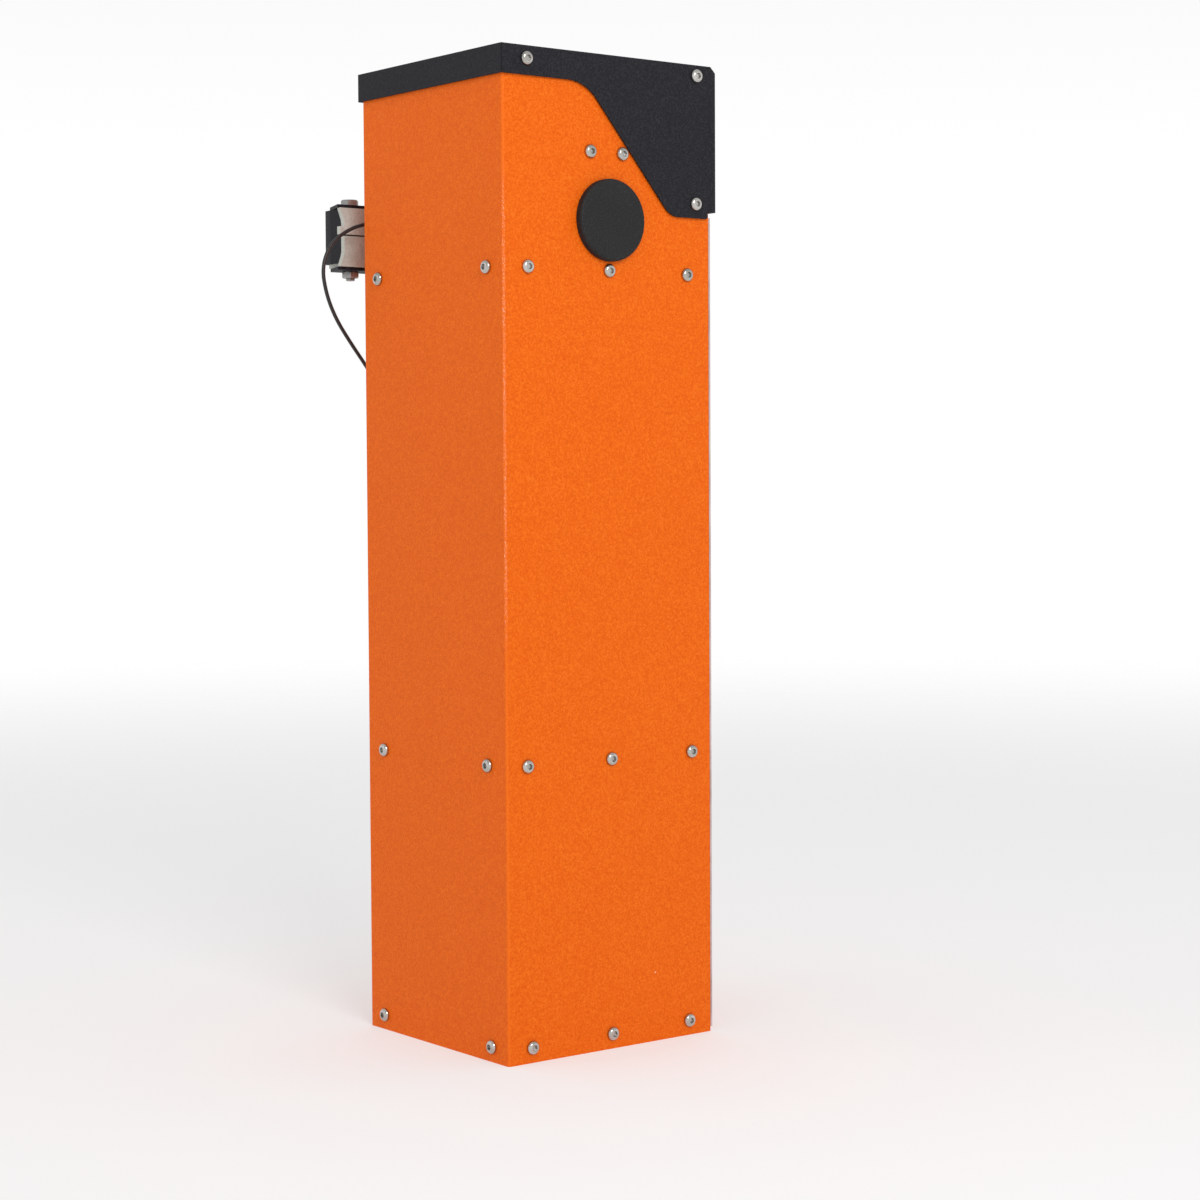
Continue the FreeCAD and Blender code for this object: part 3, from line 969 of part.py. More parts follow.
def door():
    """The door over the +X side: flat sheet, a return that stiffens it, and an edge trim."""
    low, high = "door_low", "door_high"
    edge = "half_width - trim_width"
    sheet = block("door_sheet_block", ("door_in", "door_out"), (f"-({edge})", edge), (low, high))
    reach = "door_flange_y"
    outer = block("door_return_block", ("door_in - door_return", "door_in"), (f"-({reach})", reach),
                  ("door_low + 25", "door_high - 20"))
    hollow = block("door_return_hollow", ("door_in - door_return - 1", "door_in"),
                   (f"-({reach} - shell_sheet)", f"{reach} - shell_sheet"),
                   ("door_low + 25 + shell_sheet", "door_high - 20 - shell_sheet"))
    slot = block("cam_slot", ("door_in - door_return - 1", "door_in - 3"),
                 ("-half_width", "-lock_reach - 5"),
                 ("lock_height - lock_cam_width", "lock_height + lock_cam_length + 6"))
    lock_hole = drum("lock_hole", "x", ("-lock_reach", "lock_height"),
                     ("door_in - 1", "door_out + 1"), "lock_radius")
    keep("door_panel", cut("door_panel", fuse("door_body", [sheet, cut(
        "door_return_part", outer, [hollow, slot])]), [lock_hole]))
    strips = [block("trim_strip", ("door_in", "door_in + trim_sheet"), ys, (low, high))
              for ys in both(edge, "half_width")]
    keep("door_edge_trim", group("door_edge_trim", strips))
    lower, upper = [], []
    for index in range(3):
        foot = f"hinge_first + {index} * hinge_pitch"
        spot = ("hinge_x", "hinge_y")
        middle = f"{foot} + hinge_height"
        fixed = [drum("hinge_barrel", "z", spot, (foot, middle), "hinge_radius"),
                 drum("hinge_pin_bar", "z", spot, (middle, f"{middle} + 22"), "hinge_pin"),
                 block("hinge_pad", ("hinge_x - 14", "hinge_x - 2.2"),
                       ("half_width", "half_width + 2.5"), (foot, middle)),
                 block("hinge_neck", ("hinge_x - 6", "hinge_x"),
                       ("half_width + 1", "hinge_y"), (foot, middle))]
        cutter = block("hinge_shave", ("hinge_x - 2.2", "hinge_x + 12"),
                       ("half_width - 5", "half_width + 0.5"), (f"{foot} - 1", f"{middle} + 1"))
        lower.append(cut("hinge_lower_part", fuse("hinge_lower_solid", fixed), [cutter]))
        top = (f"{middle} + moving_gap", f"{middle} + hinge_height")
        moving = [drum("knuckle_barrel", "z", spot, top, "hinge_radius"),
                  block("knuckle_leaf", ("door_out", "door_out + 2"),
                        ("half_width - 26", "half_width - 0.4"), top),
                  block("knuckle_neck", ("hinge_x", "door_out + 2"),
                        ("half_width - 0.6", "hinge_y"), top)]
        trim_gap = block("knuckle_shave", ("hinge_x - 12", "door_in + trim_sheet + 0.1"),
                         ("half_width - 30", "half_width + 0.1"), (f"{foot}", f"{middle} + 60"))
        bore = drum("knuckle_bore", "z", spot, (middle, f"{middle} + 22.5"),
                    "hinge_pin + running_clearance")
        upper.append(cut("hinge_upper_part", fuse("hinge_upper_solid", moving),
                         [bore, trim_gap]))
    keep("hinge_lower_halves", group("hinge_lower_halves", lower))
    keep("hinge_upper_halves", group("hinge_upper_halves", upper))


def door_lock():
    spot = ("-lock_reach", "lock_height")
    inner = "door_in - lock_body_depth + 6"
    barrel = fuse("lock_barrel", [
        drum("lock_tube", "x", spot, (inner, "door_out"), "lock_radius - 0.2"),
        drum("lock_rim", "x", spot, ("door_out", "door_out + 3"), "lock_radius + 2")])
    bore = drum("lock_bore", "x", spot, (f"{inner} - 1", "door_out + 4"),
                "lock_plug + running_clearance")
    keep("lock_barrel", cut("lock_barrel", barrel, [bore]))
    cam_high = f"{inner} - 0.3"
    cam_low = f"{cam_high} - lock_cam_sheet"
    plug = drum("lock_core", "x", spot, (f"{cam_low} - 3", "door_out + 3.4"), "lock_plug")
    slot = block("key_slot", ("door_out - 2", "door_out + 5"),
                 ("-lock_reach - 0.8", "-lock_reach + 0.8"), ("lock_height - 4", "lock_height + 4"))
    half = "lock_cam_width / 2"
    cam = block("lock_cam_bar", (cam_low, cam_high), (f"-lock_reach - {half}", f"{half} - lock_reach"),
                ("lock_height - 9", "lock_height + lock_cam_length"))
    keep("lock_plug_cam", cut("lock_plug_cam", fuse("lock_plug_solid", [plug, cam]), [slot]))


def check_and_write():
    """Stops on any failed object, then writes each sub-part to its own file."""
    doc.recompute()
    failed = [o.Label for o in doc.Objects if "Invalid" in o.State or "Error" in o.State]
    if failed:
        raise SystemExit(f"failed objects: {failed}")
    os.makedirs("parts", exist_ok=True)
    for name, thing in parts.items():
        shape = thing.Shape
        if shape.isNull() or not shape.isValid() or not shape.Solids:
            raise SystemExit(f"bad shape: {name}")
        shape.exportStep(f"parts/{name}.step")
        box = shape.BoundBox
        print(f"{name:22s} {len(shape.Solids):3d} solids  x {box.XMin:7.1f} {box.XMax:7.1f}"
              f"  y {box.YMin:7.1f} {box.YMax:7.1f}  z {box.ZMin:7.1f} {box.ZMax:7.1f}")
    print(len(parts), "nodes")


cabinet_shell()
corner_posts()
floor_and_shelves()
bearing_side("left", 1)
bearing_side("right", -1)
spacers_and_bolts()
boom_shaft()
lever_and_pins()
limit_cams()
boom_clamp()
crank_and_rod()
gearbox()
motor()
balance_spring()
stops_and_switches()
electronics()
hood()
shaft_covers()
light_lead()
screws()
door()
door_lock()
check_and_write()
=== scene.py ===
import bmesh
import bpy
import json
import math
import numpy as np
from mathutils import Matrix, Vector

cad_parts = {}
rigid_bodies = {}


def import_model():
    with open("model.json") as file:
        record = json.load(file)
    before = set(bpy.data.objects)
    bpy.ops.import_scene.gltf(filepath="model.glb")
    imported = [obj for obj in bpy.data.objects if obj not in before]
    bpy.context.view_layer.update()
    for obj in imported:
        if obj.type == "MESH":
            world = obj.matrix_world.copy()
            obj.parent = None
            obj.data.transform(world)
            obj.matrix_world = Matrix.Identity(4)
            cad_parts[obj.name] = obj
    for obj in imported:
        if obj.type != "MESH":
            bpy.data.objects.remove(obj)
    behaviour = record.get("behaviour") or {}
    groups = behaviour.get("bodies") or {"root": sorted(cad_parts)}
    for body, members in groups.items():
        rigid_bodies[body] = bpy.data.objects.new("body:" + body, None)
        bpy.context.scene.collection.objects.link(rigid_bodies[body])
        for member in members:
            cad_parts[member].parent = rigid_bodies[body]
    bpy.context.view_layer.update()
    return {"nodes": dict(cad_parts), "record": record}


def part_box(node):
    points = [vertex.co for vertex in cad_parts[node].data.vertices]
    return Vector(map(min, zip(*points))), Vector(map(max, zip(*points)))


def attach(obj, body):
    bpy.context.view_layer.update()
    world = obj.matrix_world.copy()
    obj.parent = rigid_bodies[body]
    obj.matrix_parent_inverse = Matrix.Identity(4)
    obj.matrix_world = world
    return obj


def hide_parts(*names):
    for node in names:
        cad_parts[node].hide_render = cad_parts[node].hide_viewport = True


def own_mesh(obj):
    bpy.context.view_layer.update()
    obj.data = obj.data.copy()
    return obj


for old in list(bpy.data.objects):
    bpy.data.objects.remove(old)
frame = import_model()
nodes = frame["nodes"]

# camera: stands before the corner between the capped side and the plain side, a little above half height
cameraSetup = {"place": (-1.5915, -2.1609, 0.5898), "azimuth": -37.78, "elevation": 2.95,
               "roll": -0.298, "lens": 77.06}


def makeCamera():
    azimuth = math.radians(cameraSetup["azimuth"])
    elevation = math.radians(cameraSetup["elevation"])
    back = Vector((math.sin(azimuth) * math.cos(elevation),
                   -math.cos(azimuth) * math.cos(elevation), math.sin(elevation)))
    right = Vector((0, 0, 1)).cross(back).normalized()
    turn = Matrix((right, back.cross(right), back)).transposed()
    turn = turn @ Matrix.Rotation(math.radians(cameraSetup["roll"]), 3, "Z")
    data = bpy.data.cameras.new("viewCamera")
    data.lens = cameraSetup["lens"]
    camera = bpy.data.objects.new("viewCamera", data)
    camera.matrix_world = Matrix.Translation(cameraSetup["place"]) @ turn.to_4x4()
    bpy.context.scene.collection.objects.link(camera)
    bpy.context.scene.camera = camera


makeCamera()
print("camera ready")


# One shader node; values set its properties, settings its input sockets by name or number.
def addNode(tree, kind, settings=None, **values):
    node = tree.nodes.new("ShaderNode" + kind)
    for key, value in values.items():
        setattr(node, key, value)
    for key, value in (settings or {}).items():
        node.inputs[key].default_value = value
    return node


# A colour mix node; share, first and second are sockets or constants.
def mixColours(tree, share, first, second, how="MIX"):
    node = addNode(tree, "Mix", data_type="RGBA", blend_type=how)
    for socket, value in ((node.inputs[0], share), (node.inputs[6], first), (node.inputs[7], second)):
        if isinstance(value, bpy.types.NodeSocket):
            tree.links.new(value, socket)
        else:
            socket.default_value = value
    return node.outputs[2]


def mathNode(tree, operation, *values):
    node = addNode(tree, "Math", operation=operation)
    for socket, value in zip(node.inputs, values):
        if isinstance(value, bpy.types.NodeSocket):
            tree.links.new(value, socket)
        else:
            socket.default_value = value
    return node.outputs[0]


# A grey ramp through the given (place, grey) stops.
def rampNode(tree, fac, *stops):
    node = addNode(tree, "ValToRGB")
    tree.links.new(fac, node.inputs[0])
    ramp = node.color_ramp
    while len(ramp.elements) < len(stops):
        ramp.elements.new(0.5)
    for element, (place, grey) in zip(ramp.elements, stops):
        element.position = place
        element.color = (grey, grey, grey, 1)
    return node.outputs[0]


# A shader group with float, colour or vector sockets.
def startGroup(name, inputs, outputs):
    group = bpy.data.node_groups.new(name, "ShaderNodeTree")
    kinds = {"f": "NodeSocketFloat", "c": "NodeSocketColor", "v": "NodeSocketVector"}
    for title, kind in outputs.items():
        group.interface.new_socket(title, in_out="OUTPUT", socket_type=kinds[kind])
    for title, (kind, value) in inputs.items():
        socket = group.interface.new_socket(title, in_out="INPUT", socket_type=kinds[kind])
        socket.default_value = value
    return group, group.nodes.new("NodeGroupInput"), group.nodes.new("NodeGroupOutput")


def noiseOn(tree, place, scale, detail=2.0, roughness=0.5):
    node = addNode(tree, "TexNoise", {"Detail": detail, "Roughness": roughness})
    tree.links.new(place, node.inputs["Vector"])
    if isinstance(scale, bpy.types.NodeSocket):
        tree.links.new(scale, node.inputs["Scale"])
    else:
        node.inputs["Scale"].default_value = scale
    return node.outputs[0]


def bumpOn(tree, height, strength, distance):
    node = addNode(tree, "Bump", {"Distance": distance})
    tree.links.new(height, node.inputs["Height"])
    if isinstance(strength, bpy.types.NodeSocket):
        tree.links.new(strength, node.inputs["Strength"])
    else:
        node.inputs["Strength"].default_value = strength
    return node.outputs[0]


# Powder coat: fused grains that rise and tint a little, dark and pale specks, broad faint patches.
def powderGroup():
    group, start, end = startGroup("powderGrain", {
        "Colour": ("c", (0.8, 0.8, 0.8, 1)), "Dark": ("c", (0.5, 0.5, 0.5, 1)),
        "Pale": ("c", (1, 1, 1, 1)), "Grain": ("f", 700.0), "Tint": ("f", 0.5),
        "Relief": ("f", 0.3), "Sheen": ("f", 0.5), "Patches": ("f", 0.12)},
        {"Colour": "c", "Roughness": "f", "Normal": "v"})
    place = addNode(group, "TexCoord").outputs["Object"]
    link = group.links.new
    fine = noiseOn(group, place, start.outputs["Grain"], 3.0, 0.65)
    darker = mathNode(group, "MULTIPLY", rampNode(group, fine, (0.30, 1), (0.52, 0)), start.outputs["Tint"])
    paler = mathNode(group, "MULTIPLY", rampNode(group, fine, (0.50, 0), (0.72, 1)), start.outputs["Tint"])
    tone = mixColours(group, darker, start.outputs["Colour"], start.outputs["Dark"])
    tone = mixColours(group, paler, tone, start.outputs["Pale"])
    broad = noiseOn(group, place, 9.0, 3.0)
    patches = mathNode(group, "MULTIPLY", rampNode(group, broad, (0.35, 1), (0.65, 0)),
                       start.outputs["Patches"])
    tone = mixColours(group, patches, tone, start.outputs["Dark"])
    link(tone, end.inputs["Colour"])
    spread = mathNode(group, "MULTIPLY_ADD", fine, 0.22, start.outputs["Sheen"])
    link(mathNode(group, "SUBTRACT", spread, 0.11), end.inputs["Roughness"])
    link(bumpOn(group, fine, start.outputs["Relief"], 0.0004), end.inputs["Normal"])
    return group


# Sand casting: coarse grains, small pits and cloudy grey patches.
def castGroup():
    group, start, end = startGroup("castGrain", {
        "Colour": ("c", (0.5, 0.5, 0.5, 1)), "Dark": ("c", (0.2, 0.2, 0.2, 1)),
        "Relief": ("f", 0.5), "Sheen": ("f", 0.5)}, {"Colour": "c", "Roughness": "f", "Normal": "v"})
    place = addNode(group, "TexCoord").outputs["Object"]
    link = group.links.new
    coarse = noiseOn(group, place, 420.0, 4.0, 0.6)
    clouds = noiseOn(group, place, 46.0, 4.0, 0.55)
    pits = addNode(group, "TexVoronoi", {"Scale": 300.0})
    link(place, pits.inputs["Vector"])
    hollow = rampNode(group, pits.outputs["Distance"], (0.08, 0), (0.35, 1))
    stain = mathNode(group, "MULTIPLY", rampNode(group, clouds, (0.32, 1), (0.66, 0)), 0.55)
    tone = mixColours(group, stain, start.outputs["Colour"], start.outputs["Dark"])
    speck = mathNode(group, "MULTIPLY", rampNode(group, coarse, (0.36, 1), (0.5, 0)), 0.45)
    link(mixColours(group, speck, tone, start.outputs["Dark"]), end.inputs["Colour"])
    spread = mathNode(group, "MULTIPLY_ADD", clouds, 0.3, start.outputs["Sheen"])
    link(mathNode(group, "SUBTRACT", spread, 0.15), end.inputs["Roughness"])
    height = mathNode(group, "MULTIPLY_ADD", hollow, 0.5, coarse)
    link(bumpOn(group, height, start.outputs["Relief"], 0.0006), end.inputs["Normal"])
    return group


# Worked metal: fine scratches along one direction, cloudy film, small roughness changes, and painted shade
# where a mesh's shade attribute is set.
def metalGroup():
    group, start, end = startGroup("metalGrain", {
        "Colour": ("c", (0.6, 0.6, 0.6, 1)), "Film": ("c", (0.4, 0.4, 0.4, 1)),
        "Stretch": ("v", (40.0, 40.0, 900.0)), "Relief": ("f", 0.15), "Sheen": ("f", 0.35)},
        {"Colour": "c", "Roughness": "f", "Normal": "v"})
    place = addNode(group, "TexCoord").outputs["Object"]
    link = group.links.new
    stretched = addNode(group, "VectorMath", operation="MULTIPLY")
    link(place, stretched.inputs[0])
    link(start.outputs["Stretch"], stretched.inputs[1])
    lines = noiseOn(group, stretched.outputs[0], 1.0, 3.0, 0.6)
    clouds = noiseOn(group, place, 60.0, 3.0)
    film = mathNode(group, "MULTIPLY", rampNode(group, clouds, (0.35, 0), (0.7, 1)), 0.7)
    tone = mixColours(group, film, start.outputs["Colour"], start.outputs["Film"])
    streak = mathNode(group, "MULTIPLY", rampNode(group, lines, (0.35, 1), (0.55, 0)), 0.3)
    tone = mixColours(group, streak, tone, start.outputs["Film"])
    # Painted shade: the mesh's shade attribute darkens the colour towards near black, in recesses and at
    # contact rims.
    paintedShade = addNode(group, "Attribute", attribute_name="shade").outputs["Fac"]
    link(mixColours(group, paintedShade, tone, (0.012, 0.012, 0.011, 1)), end.inputs["Colour"])
    spread = mathNode(group, "MULTIPLY_ADD", lines, 0.2, start.outputs["Sheen"])
    link(mathNode(group, "SUBTRACT", spread, 0.1), end.inputs["Roughness"])
    link(bumpOn(group, lines, start.outputs["Relief"], 0.0002), end.inputs["Normal"])
    return group


# Galvanised sheet: flat crystals, each of its own grey and gloss, with faint veins between.
def spangleGroup():
    group, start, end = startGroup("zincSpangle", {
        "Colour": ("c", (0.6, 0.6, 0.6, 1)), "Dark": ("c", (0.4, 0.4, 0.4, 1)),
        "Size": ("f", 130.0), "Sheen": ("f", 0.4)}, {"Colour": "c", "Roughness": "f", "Normal": "v"})
    place = addNode(group, "TexCoord").outputs["Object"]
    link = group.links.new
    warp = addNode(group, "TexNoise", {"Scale": 70.0, "Detail": 2.0})
    link(place, warp.inputs["Vector"])
    shifted = addNode(group, "VectorMath", operation="MULTIPLY_ADD")
    shifted.inputs[1].default_value = (0.006, 0.006, 0.006)
    link(warp.outputs["Color"], shifted.inputs[0])
    link(place, shifted.inputs[2])
    crystals = addNode(group, "TexVoronoi")
    link(shifted.outputs[0], crystals.inputs["Vector"])
    link(start.outputs["Size"], crystals.inputs["Scale"])
    apart = addNode(group, "SeparateColor")
    link(crystals.outputs["Color"], apart.inputs[0])
    tone = mathNode(group, "MULTIPLY", apart.outputs[0], 0.7)
    link(mixColours(group, tone, start.outputs["Colour"], start.outputs["Dark"]), end.inputs["Colour"])
    spread = mathNode(group, "MULTIPLY_ADD", apart.outputs[1], 0.2, start.outputs["Sheen"])
    link(mathNode(group, "SUBTRACT", spread, 0.1), end.inputs["Roughness"])
    link(bumpOn(group, crystals.outputs["Distance"], 0.08, 0.001), end.inputs["Normal"])
    return group


# Moulded plastic or rubber: spark-eroded grain, faint flow clouds, a little dust.
def mouldGroup():
    group, start, end = startGroup("mouldGrain", {
        "Colour": ("c", (0.1, 0.1, 0.1, 1)), "Dust": ("c", (0.3, 0.3, 0.3, 1)),
        "Grain": ("f", 1500.0), "Dusting": ("f", 0.15), "Relief": ("f", 0.2), "Sheen": ("f", 0.5),
        "Speck": ("f", 0.15)},
        {"Colour": "c", "Roughness": "f", "Normal": "v"})
    place = addNode(group, "TexCoord").outputs["Object"]
    link = group.links.new
    grain = noiseOn(group, place, start.outputs["Grain"], 2.0)
    clouds = noiseOn(group, place, 35.0, 5.0, 0.6)
    dust = mathNode(group, "MULTIPLY", rampNode(group, clouds, (0.4, 0), (0.75, 1)),
                    start.outputs["Dusting"])
    tone = mixColours(group, dust, start.outputs["Colour"], start.outputs["Dust"])
    speck = mathNode(group, "MULTIPLY", rampNode(group, grain, (0.5, 0), (0.72, 1)), start.outputs["Speck"])
    link(mixColours(group, speck, tone, start.outputs["Dust"]), end.inputs["Colour"])
    spread = mathNode(group, "MULTIPLY_ADD", clouds, 0.25, start.outputs["Sheen"])
    link(mathNode(group, "SUBTRACT", spread, 0.12), end.inputs["Roughness"])
    link(bumpOn(group, grain, start.outputs["Relief"], 0.0002), end.inputs["Normal"])
    return group


effects = {"powder": powderGroup(), "cast": castGroup(), "metal": metalGroup(),
           "spangle": spangleGroup(), "mould": mouldGroup()}


# A material whose colour, roughness and normal come from one effect group.
def makeFinish(name, effect, metallic, values, **sockets):
    finish = bpy.data.materials.new(name)
    finish.use_nodes = True
    tree = finish.node_tree
    shader = tree.nodes["Principled BSDF"]
    shader.inputs["Metallic"].default_value = metallic
    for key, value in sockets.items():
        shader.inputs[key.replace("_", " ")].default_value = value
    group = tree.nodes.new("ShaderNodeGroup")
    group.node_tree = effects[effect]
    for key, value in values.items():
        group.inputs[key].default_value = value
    tree.links.new(group.outputs["Colour"], shader.inputs["Base Color"])
    tree.links.new(group.outputs["Roughness"], shader.inputs["Roughness"])
    tree.links.new(group.outputs["Normal"], shader.inputs["Normal"])
    return finish


finishes = {
    "orangeCoat": makeFinish("orangeCoat", "powder", 0, {
        "Colour": (0.78, 0.124, 0.002, 1), "Dark": (0.64, 0.078, 0.001, 1),
        "Pale": (0.86, 0.20, 0.016, 1), "Grain": 620.0, "Tint": 0.85, "Patches": 0.05, "Relief": 0.3,
        "Sheen": 0.5}, Specular_IOR_Level=0.1),
    "blackCoat": makeFinish("blackCoat", "powder", 0, {
        "Colour": (0.0145, 0.0140, 0.0180, 1), "Dark": (0.006, 0.006, 0.009, 1),
        "Pale": (0.036, 0.035, 0.041, 1), "Grain": 620.0, "Tint": 0.8, "Relief": 0.5, "Sheen": 0.6},
        Specular_IOR_Level=0.15),
    "galvanised": makeFinish("galvanised", "spangle", 1, {
        "Colour": (0.60, 0.62, 0.63, 1), "Dark": (0.40, 0.42, 0.44, 1)}),
    "stainless": makeFinish("stainless", "metal", 1, {
        "Colour": (0.60, 0.58, 0.55, 1), "Film": (0.34, 0.32, 0.29, 1), "Sheen": 0.15,
        "Stretch": (700.0, 700.0, 700.0), "Relief": 0.08}),
    "zincPlate": makeFinish("zincPlate", "metal", 0.75, {
        "Colour": (0.40, 0.40, 0.39, 1), "Film": (0.24, 0.235, 0.225, 1), "Sheen": 0.5,
        "Stretch": (500.0, 500.0, 60.0), "Relief": 0.15}),
    "groundSteel": makeFinish("groundSteel", "metal", 1, {
        "Colour": (0.58, 0.58, 0.58, 1), "Film": (0.38, 0.37, 0.36, 1), "Sheen": 0.28,
        "Stretch": (60.0, 1400.0, 60.0), "Relief": 0.12}),
    "castAluminium": makeFinish("castAluminium", "cast", 0, {
        "Colour": (0.56, 0.56, 0.51, 1), "Dark": (0.33, 0.33, 0.29, 1), "Relief": 0.7, "Sheen": 0.6}),
    "castIron": makeFinish("castIron", "cast", 0, {
        "Colour": (0.115, 0.125, 0.135, 1), "Dark": (0.055, 0.06, 0.065, 1), "Relief": 0.5,
        "Sheen": 0.45}),
    "bronze": makeFinish("bronze", "metal", 1, {
        "Colour": (0.60, 0.38, 0.16, 1), "Film": (0.35, 0.2, 0.08, 1), "Sheen": 0.34}),
    "springSteel": makeFinish("springSteel", "metal", 1, {
        "Colour": (0.16, 0.16, 0.17, 1), "Film": (0.07, 0.07, 0.075, 1), "Sheen": 0.36,
        "Stretch": (300.0, 300.0, 300.0)}),
    "blackPlastic": makeFinish("blackPlastic", "mould", 0, {
        "Colour": (0.016, 0.016, 0.018, 1), "Dust": (0.06, 0.06, 0.058, 1), "Sheen": 0.5}),
    "capPlastic": makeFinish("capPlastic", "mould", 0, {
        "Colour": (0.0135, 0.013, 0.0135, 1), "Dust": (0.045, 0.042, 0.043, 1), "Grain": 620.0,
        "Speck": 0.5, "Relief": 0.7, "Sheen": 0.6}, Specular_IOR_Level=0.2),
    "greyPlastic": makeFinish("greyPlastic", "mould", 0, {
        "Colour": (0.50, 0.51, 0.50, 1), "Dust": (0.36, 0.35, 0.32, 1), "Dusting": 0.4, "Sheen": 0.5}),
    "edgeTrim": makeFinish("edgeTrim", "mould", 0, {
        "Colour": (0.56, 0.44, 0.42, 1), "Dust": (0.36, 0.24, 0.22, 1), "Dusting": 0.9,
        "Grain": 500.0, "Relief": 0.4, "Sheen": 0.6}),
    "boardGreen": makeFinish("boardGreen", "mould", 0, {
        "Colour": (0.012, 0.14, 0.045, 1), "Dust": (0.05, 0.2, 0.09, 1), "Sheen": 0.3}),
    "laminations": makeFinish("laminations", "metal", 1, {
        "Colour": (0.22, 0.20, 0.19, 1), "Film": (0.10, 0.09, 0.085, 1), "Sheen": 0.4,
        "Stretch": (30.0, 1600.0, 30.0), "Relief": 0.7}),
    "blackRubber": makeFinish("blackRubber", "mould", 0, {
        "Colour": (0.014, 0.014, 0.014, 1), "Dust": (0.07, 0.068, 0.065, 1), "Dusting": 0.5,
        "Grain": 900.0, "Relief": 0.3, "Sheen": 0.7}),
    "cableSheath": makeFinish("cableSheath", "mould", 0, {
        "Colour": (0.012, 0.012, 0.013, 1), "Dust": (0.05, 0.05, 0.05, 1), "Grain": 1800.0,
        "Sheen": 0.42}),
}

# corner is x plus y where the painted highlight is whole and where it ends; low and high are heights the
# painted glints fade between
bendHighlight = {"corner": (-0.2532, -0.2524), "low": (0.40, 0.47), "high": (0.82, 0.90), "grain": 1300.0,
            "glints": (0.61, 0.68), "share": 0.35, "pale": (0.90, 0.18, 0.02, 1),
            "bare": (0.95, 0.78, 0.62, 1), "fleck": (0.0562, -0.125, 0.0713),
            "fleckSize": (0.0010, 0.0004), "fleckColour": (0.9, 0.6, 0.45, 1)}


# A smooth 0 to 1 between two values; low may be the larger one.
def rangeNode(tree, value, low, high):
    node = addNode(tree, "MapRange", {"From Min": low, "From Max": high}, interpolation_type="SMOOTHSTEP")
    tree.links.new(value, node.inputs[0])
    return node.outputs[0]


# Painted highlight: the coat over the cabinet's folded corner, where x plus y is lowest, is painted paler,
# as if the bend caught light, with pale painted glints between two heights and one pale fleck.
def paintBendHighlight():
    tree = finishes["orangeCoat"].node_tree
    shader = tree.nodes["Principled BSDF"]
    coat = shader.inputs["Base Color"].links[0].from_socket
    place = addNode(tree, "TexCoord").outputs["Object"]
    apart = addNode(tree, "SeparateXYZ")
    tree.links.new(place, apart.inputs[0])
    w = bendHighlight
    across = mathNode(tree, "ADD", apart.outputs[0], apart.outputs[1])
    edge = rangeNode(tree, across, w["corner"][1], w["corner"][0])
    # Painted highlight: a pale line along the fold.
    tone = mixColours(tree, mathNode(tree, "MULTIPLY", edge, w["share"]), coat, w["pale"])
    # Painted glints: pale flecks along the fold, only between the low and high heights.
    zone = mathNode(tree, "MULTIPLY", rangeNode(tree, apart.outputs[2], *w["low"]),
                    rangeNode(tree, apart.outputs[2], w["high"][1], w["high"][0]))
    glints = rangeNode(tree, noiseOn(tree, place, w["grain"], 1.0), *w["glints"])
    share = mathNode(tree, "MULTIPLY", mathNode(tree, "MULTIPLY", zone, edge), glints)
    tone = mixColours(tree, share, tone, w["bare"])
    away = addNode(tree, "VectorMath", {1: w["fleck"]}, operation="DISTANCE")
    tree.links.new(place, away.inputs[0])
    fleck = rangeNode(tree, away.outputs["Value"], *w["fleckSize"])
    tree.links.new(mixColours(tree, fleck, tone, w["fleckColour"]), shader.inputs["Base Color"])


paintBendHighlight()

# Painted shade of a seam along the hood's fold: whole up to start from the corner, gone by end.
hoodFoldShade = {"start": 0.0004, "end": 0.0016, "share": 0.75, "dark": (0.003, 0.003, 0.004, 1)}


# Painted shade: the hood's folded corner, where x plus y is lowest, is a darker line, painted as the shade
# of a seam at the fold.
def paintFoldShade():
    tree = finishes["blackCoat"].node_tree
    shader = tree.nodes["Principled BSDF"]
    coat = shader.inputs["Base Color"].links[0].from_socket
    apart = addNode(tree, "SeparateXYZ")
    tree.links.new(addNode(tree, "TexCoord").outputs["Object"], apart.inputs[0])
    across = mathNode(tree, "ADD", apart.outputs[0], apart.outputs[1])
    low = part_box("hood")[0]
    corner = low.x + low.y
    line = rangeNode(tree, across, corner + hoodFoldShade["end"], corner + hoodFoldShade["start"])
    share = mathNode(tree, "MULTIPLY", line, hoodFoldShade["share"])
    tone = mixColours(tree, share, coat, hoodFoldShade["dark"])
    tree.links.new(tone, shader.inputs["Base Color"])


paintFoldShade()

finishOfSlot = {
    "orange_powder_coat": "orangeCoat", "black_powder_coat": "blackCoat",
    "galvanised_steel": "galvanised", "stainless_steel": "stainless",
    "zinc_plated_steel": "zincPlate", "ground_steel": "groundSteel",
    "cast_aluminium": "castAluminium", "cast_iron": "castIron", "bronze": "bronze",
    "spring_steel": "springSteel", "black_plastic": "blackPlastic", "grey_plastic": "greyPlastic",
    "board_green": "boardGreen", "transformer_steel": "laminations",
    "black_rubber": "blackRubber", "cable_black": "cableSheath"}
ownFinish = {"door_edge_trim": "edgeTrim", "shaft_cover_cap": "capPlastic"}
slotOfNode = {part["node"]: part["material_slot"] for part in frame["record"]["subparts"]}


# Every CAD node gets the finish of its material slot, or its own.
def finishNodes():
    for name, node in nodes.items():
        finish = finishes[ownFinish.get(name, finishOfSlot[slotOfNode[name]])]
        if not node.material_slots:
            node.data.materials.append(finish)
        for slot in node.material_slots:
            slot.material = finish


finishNodes()
print("finishes ready")


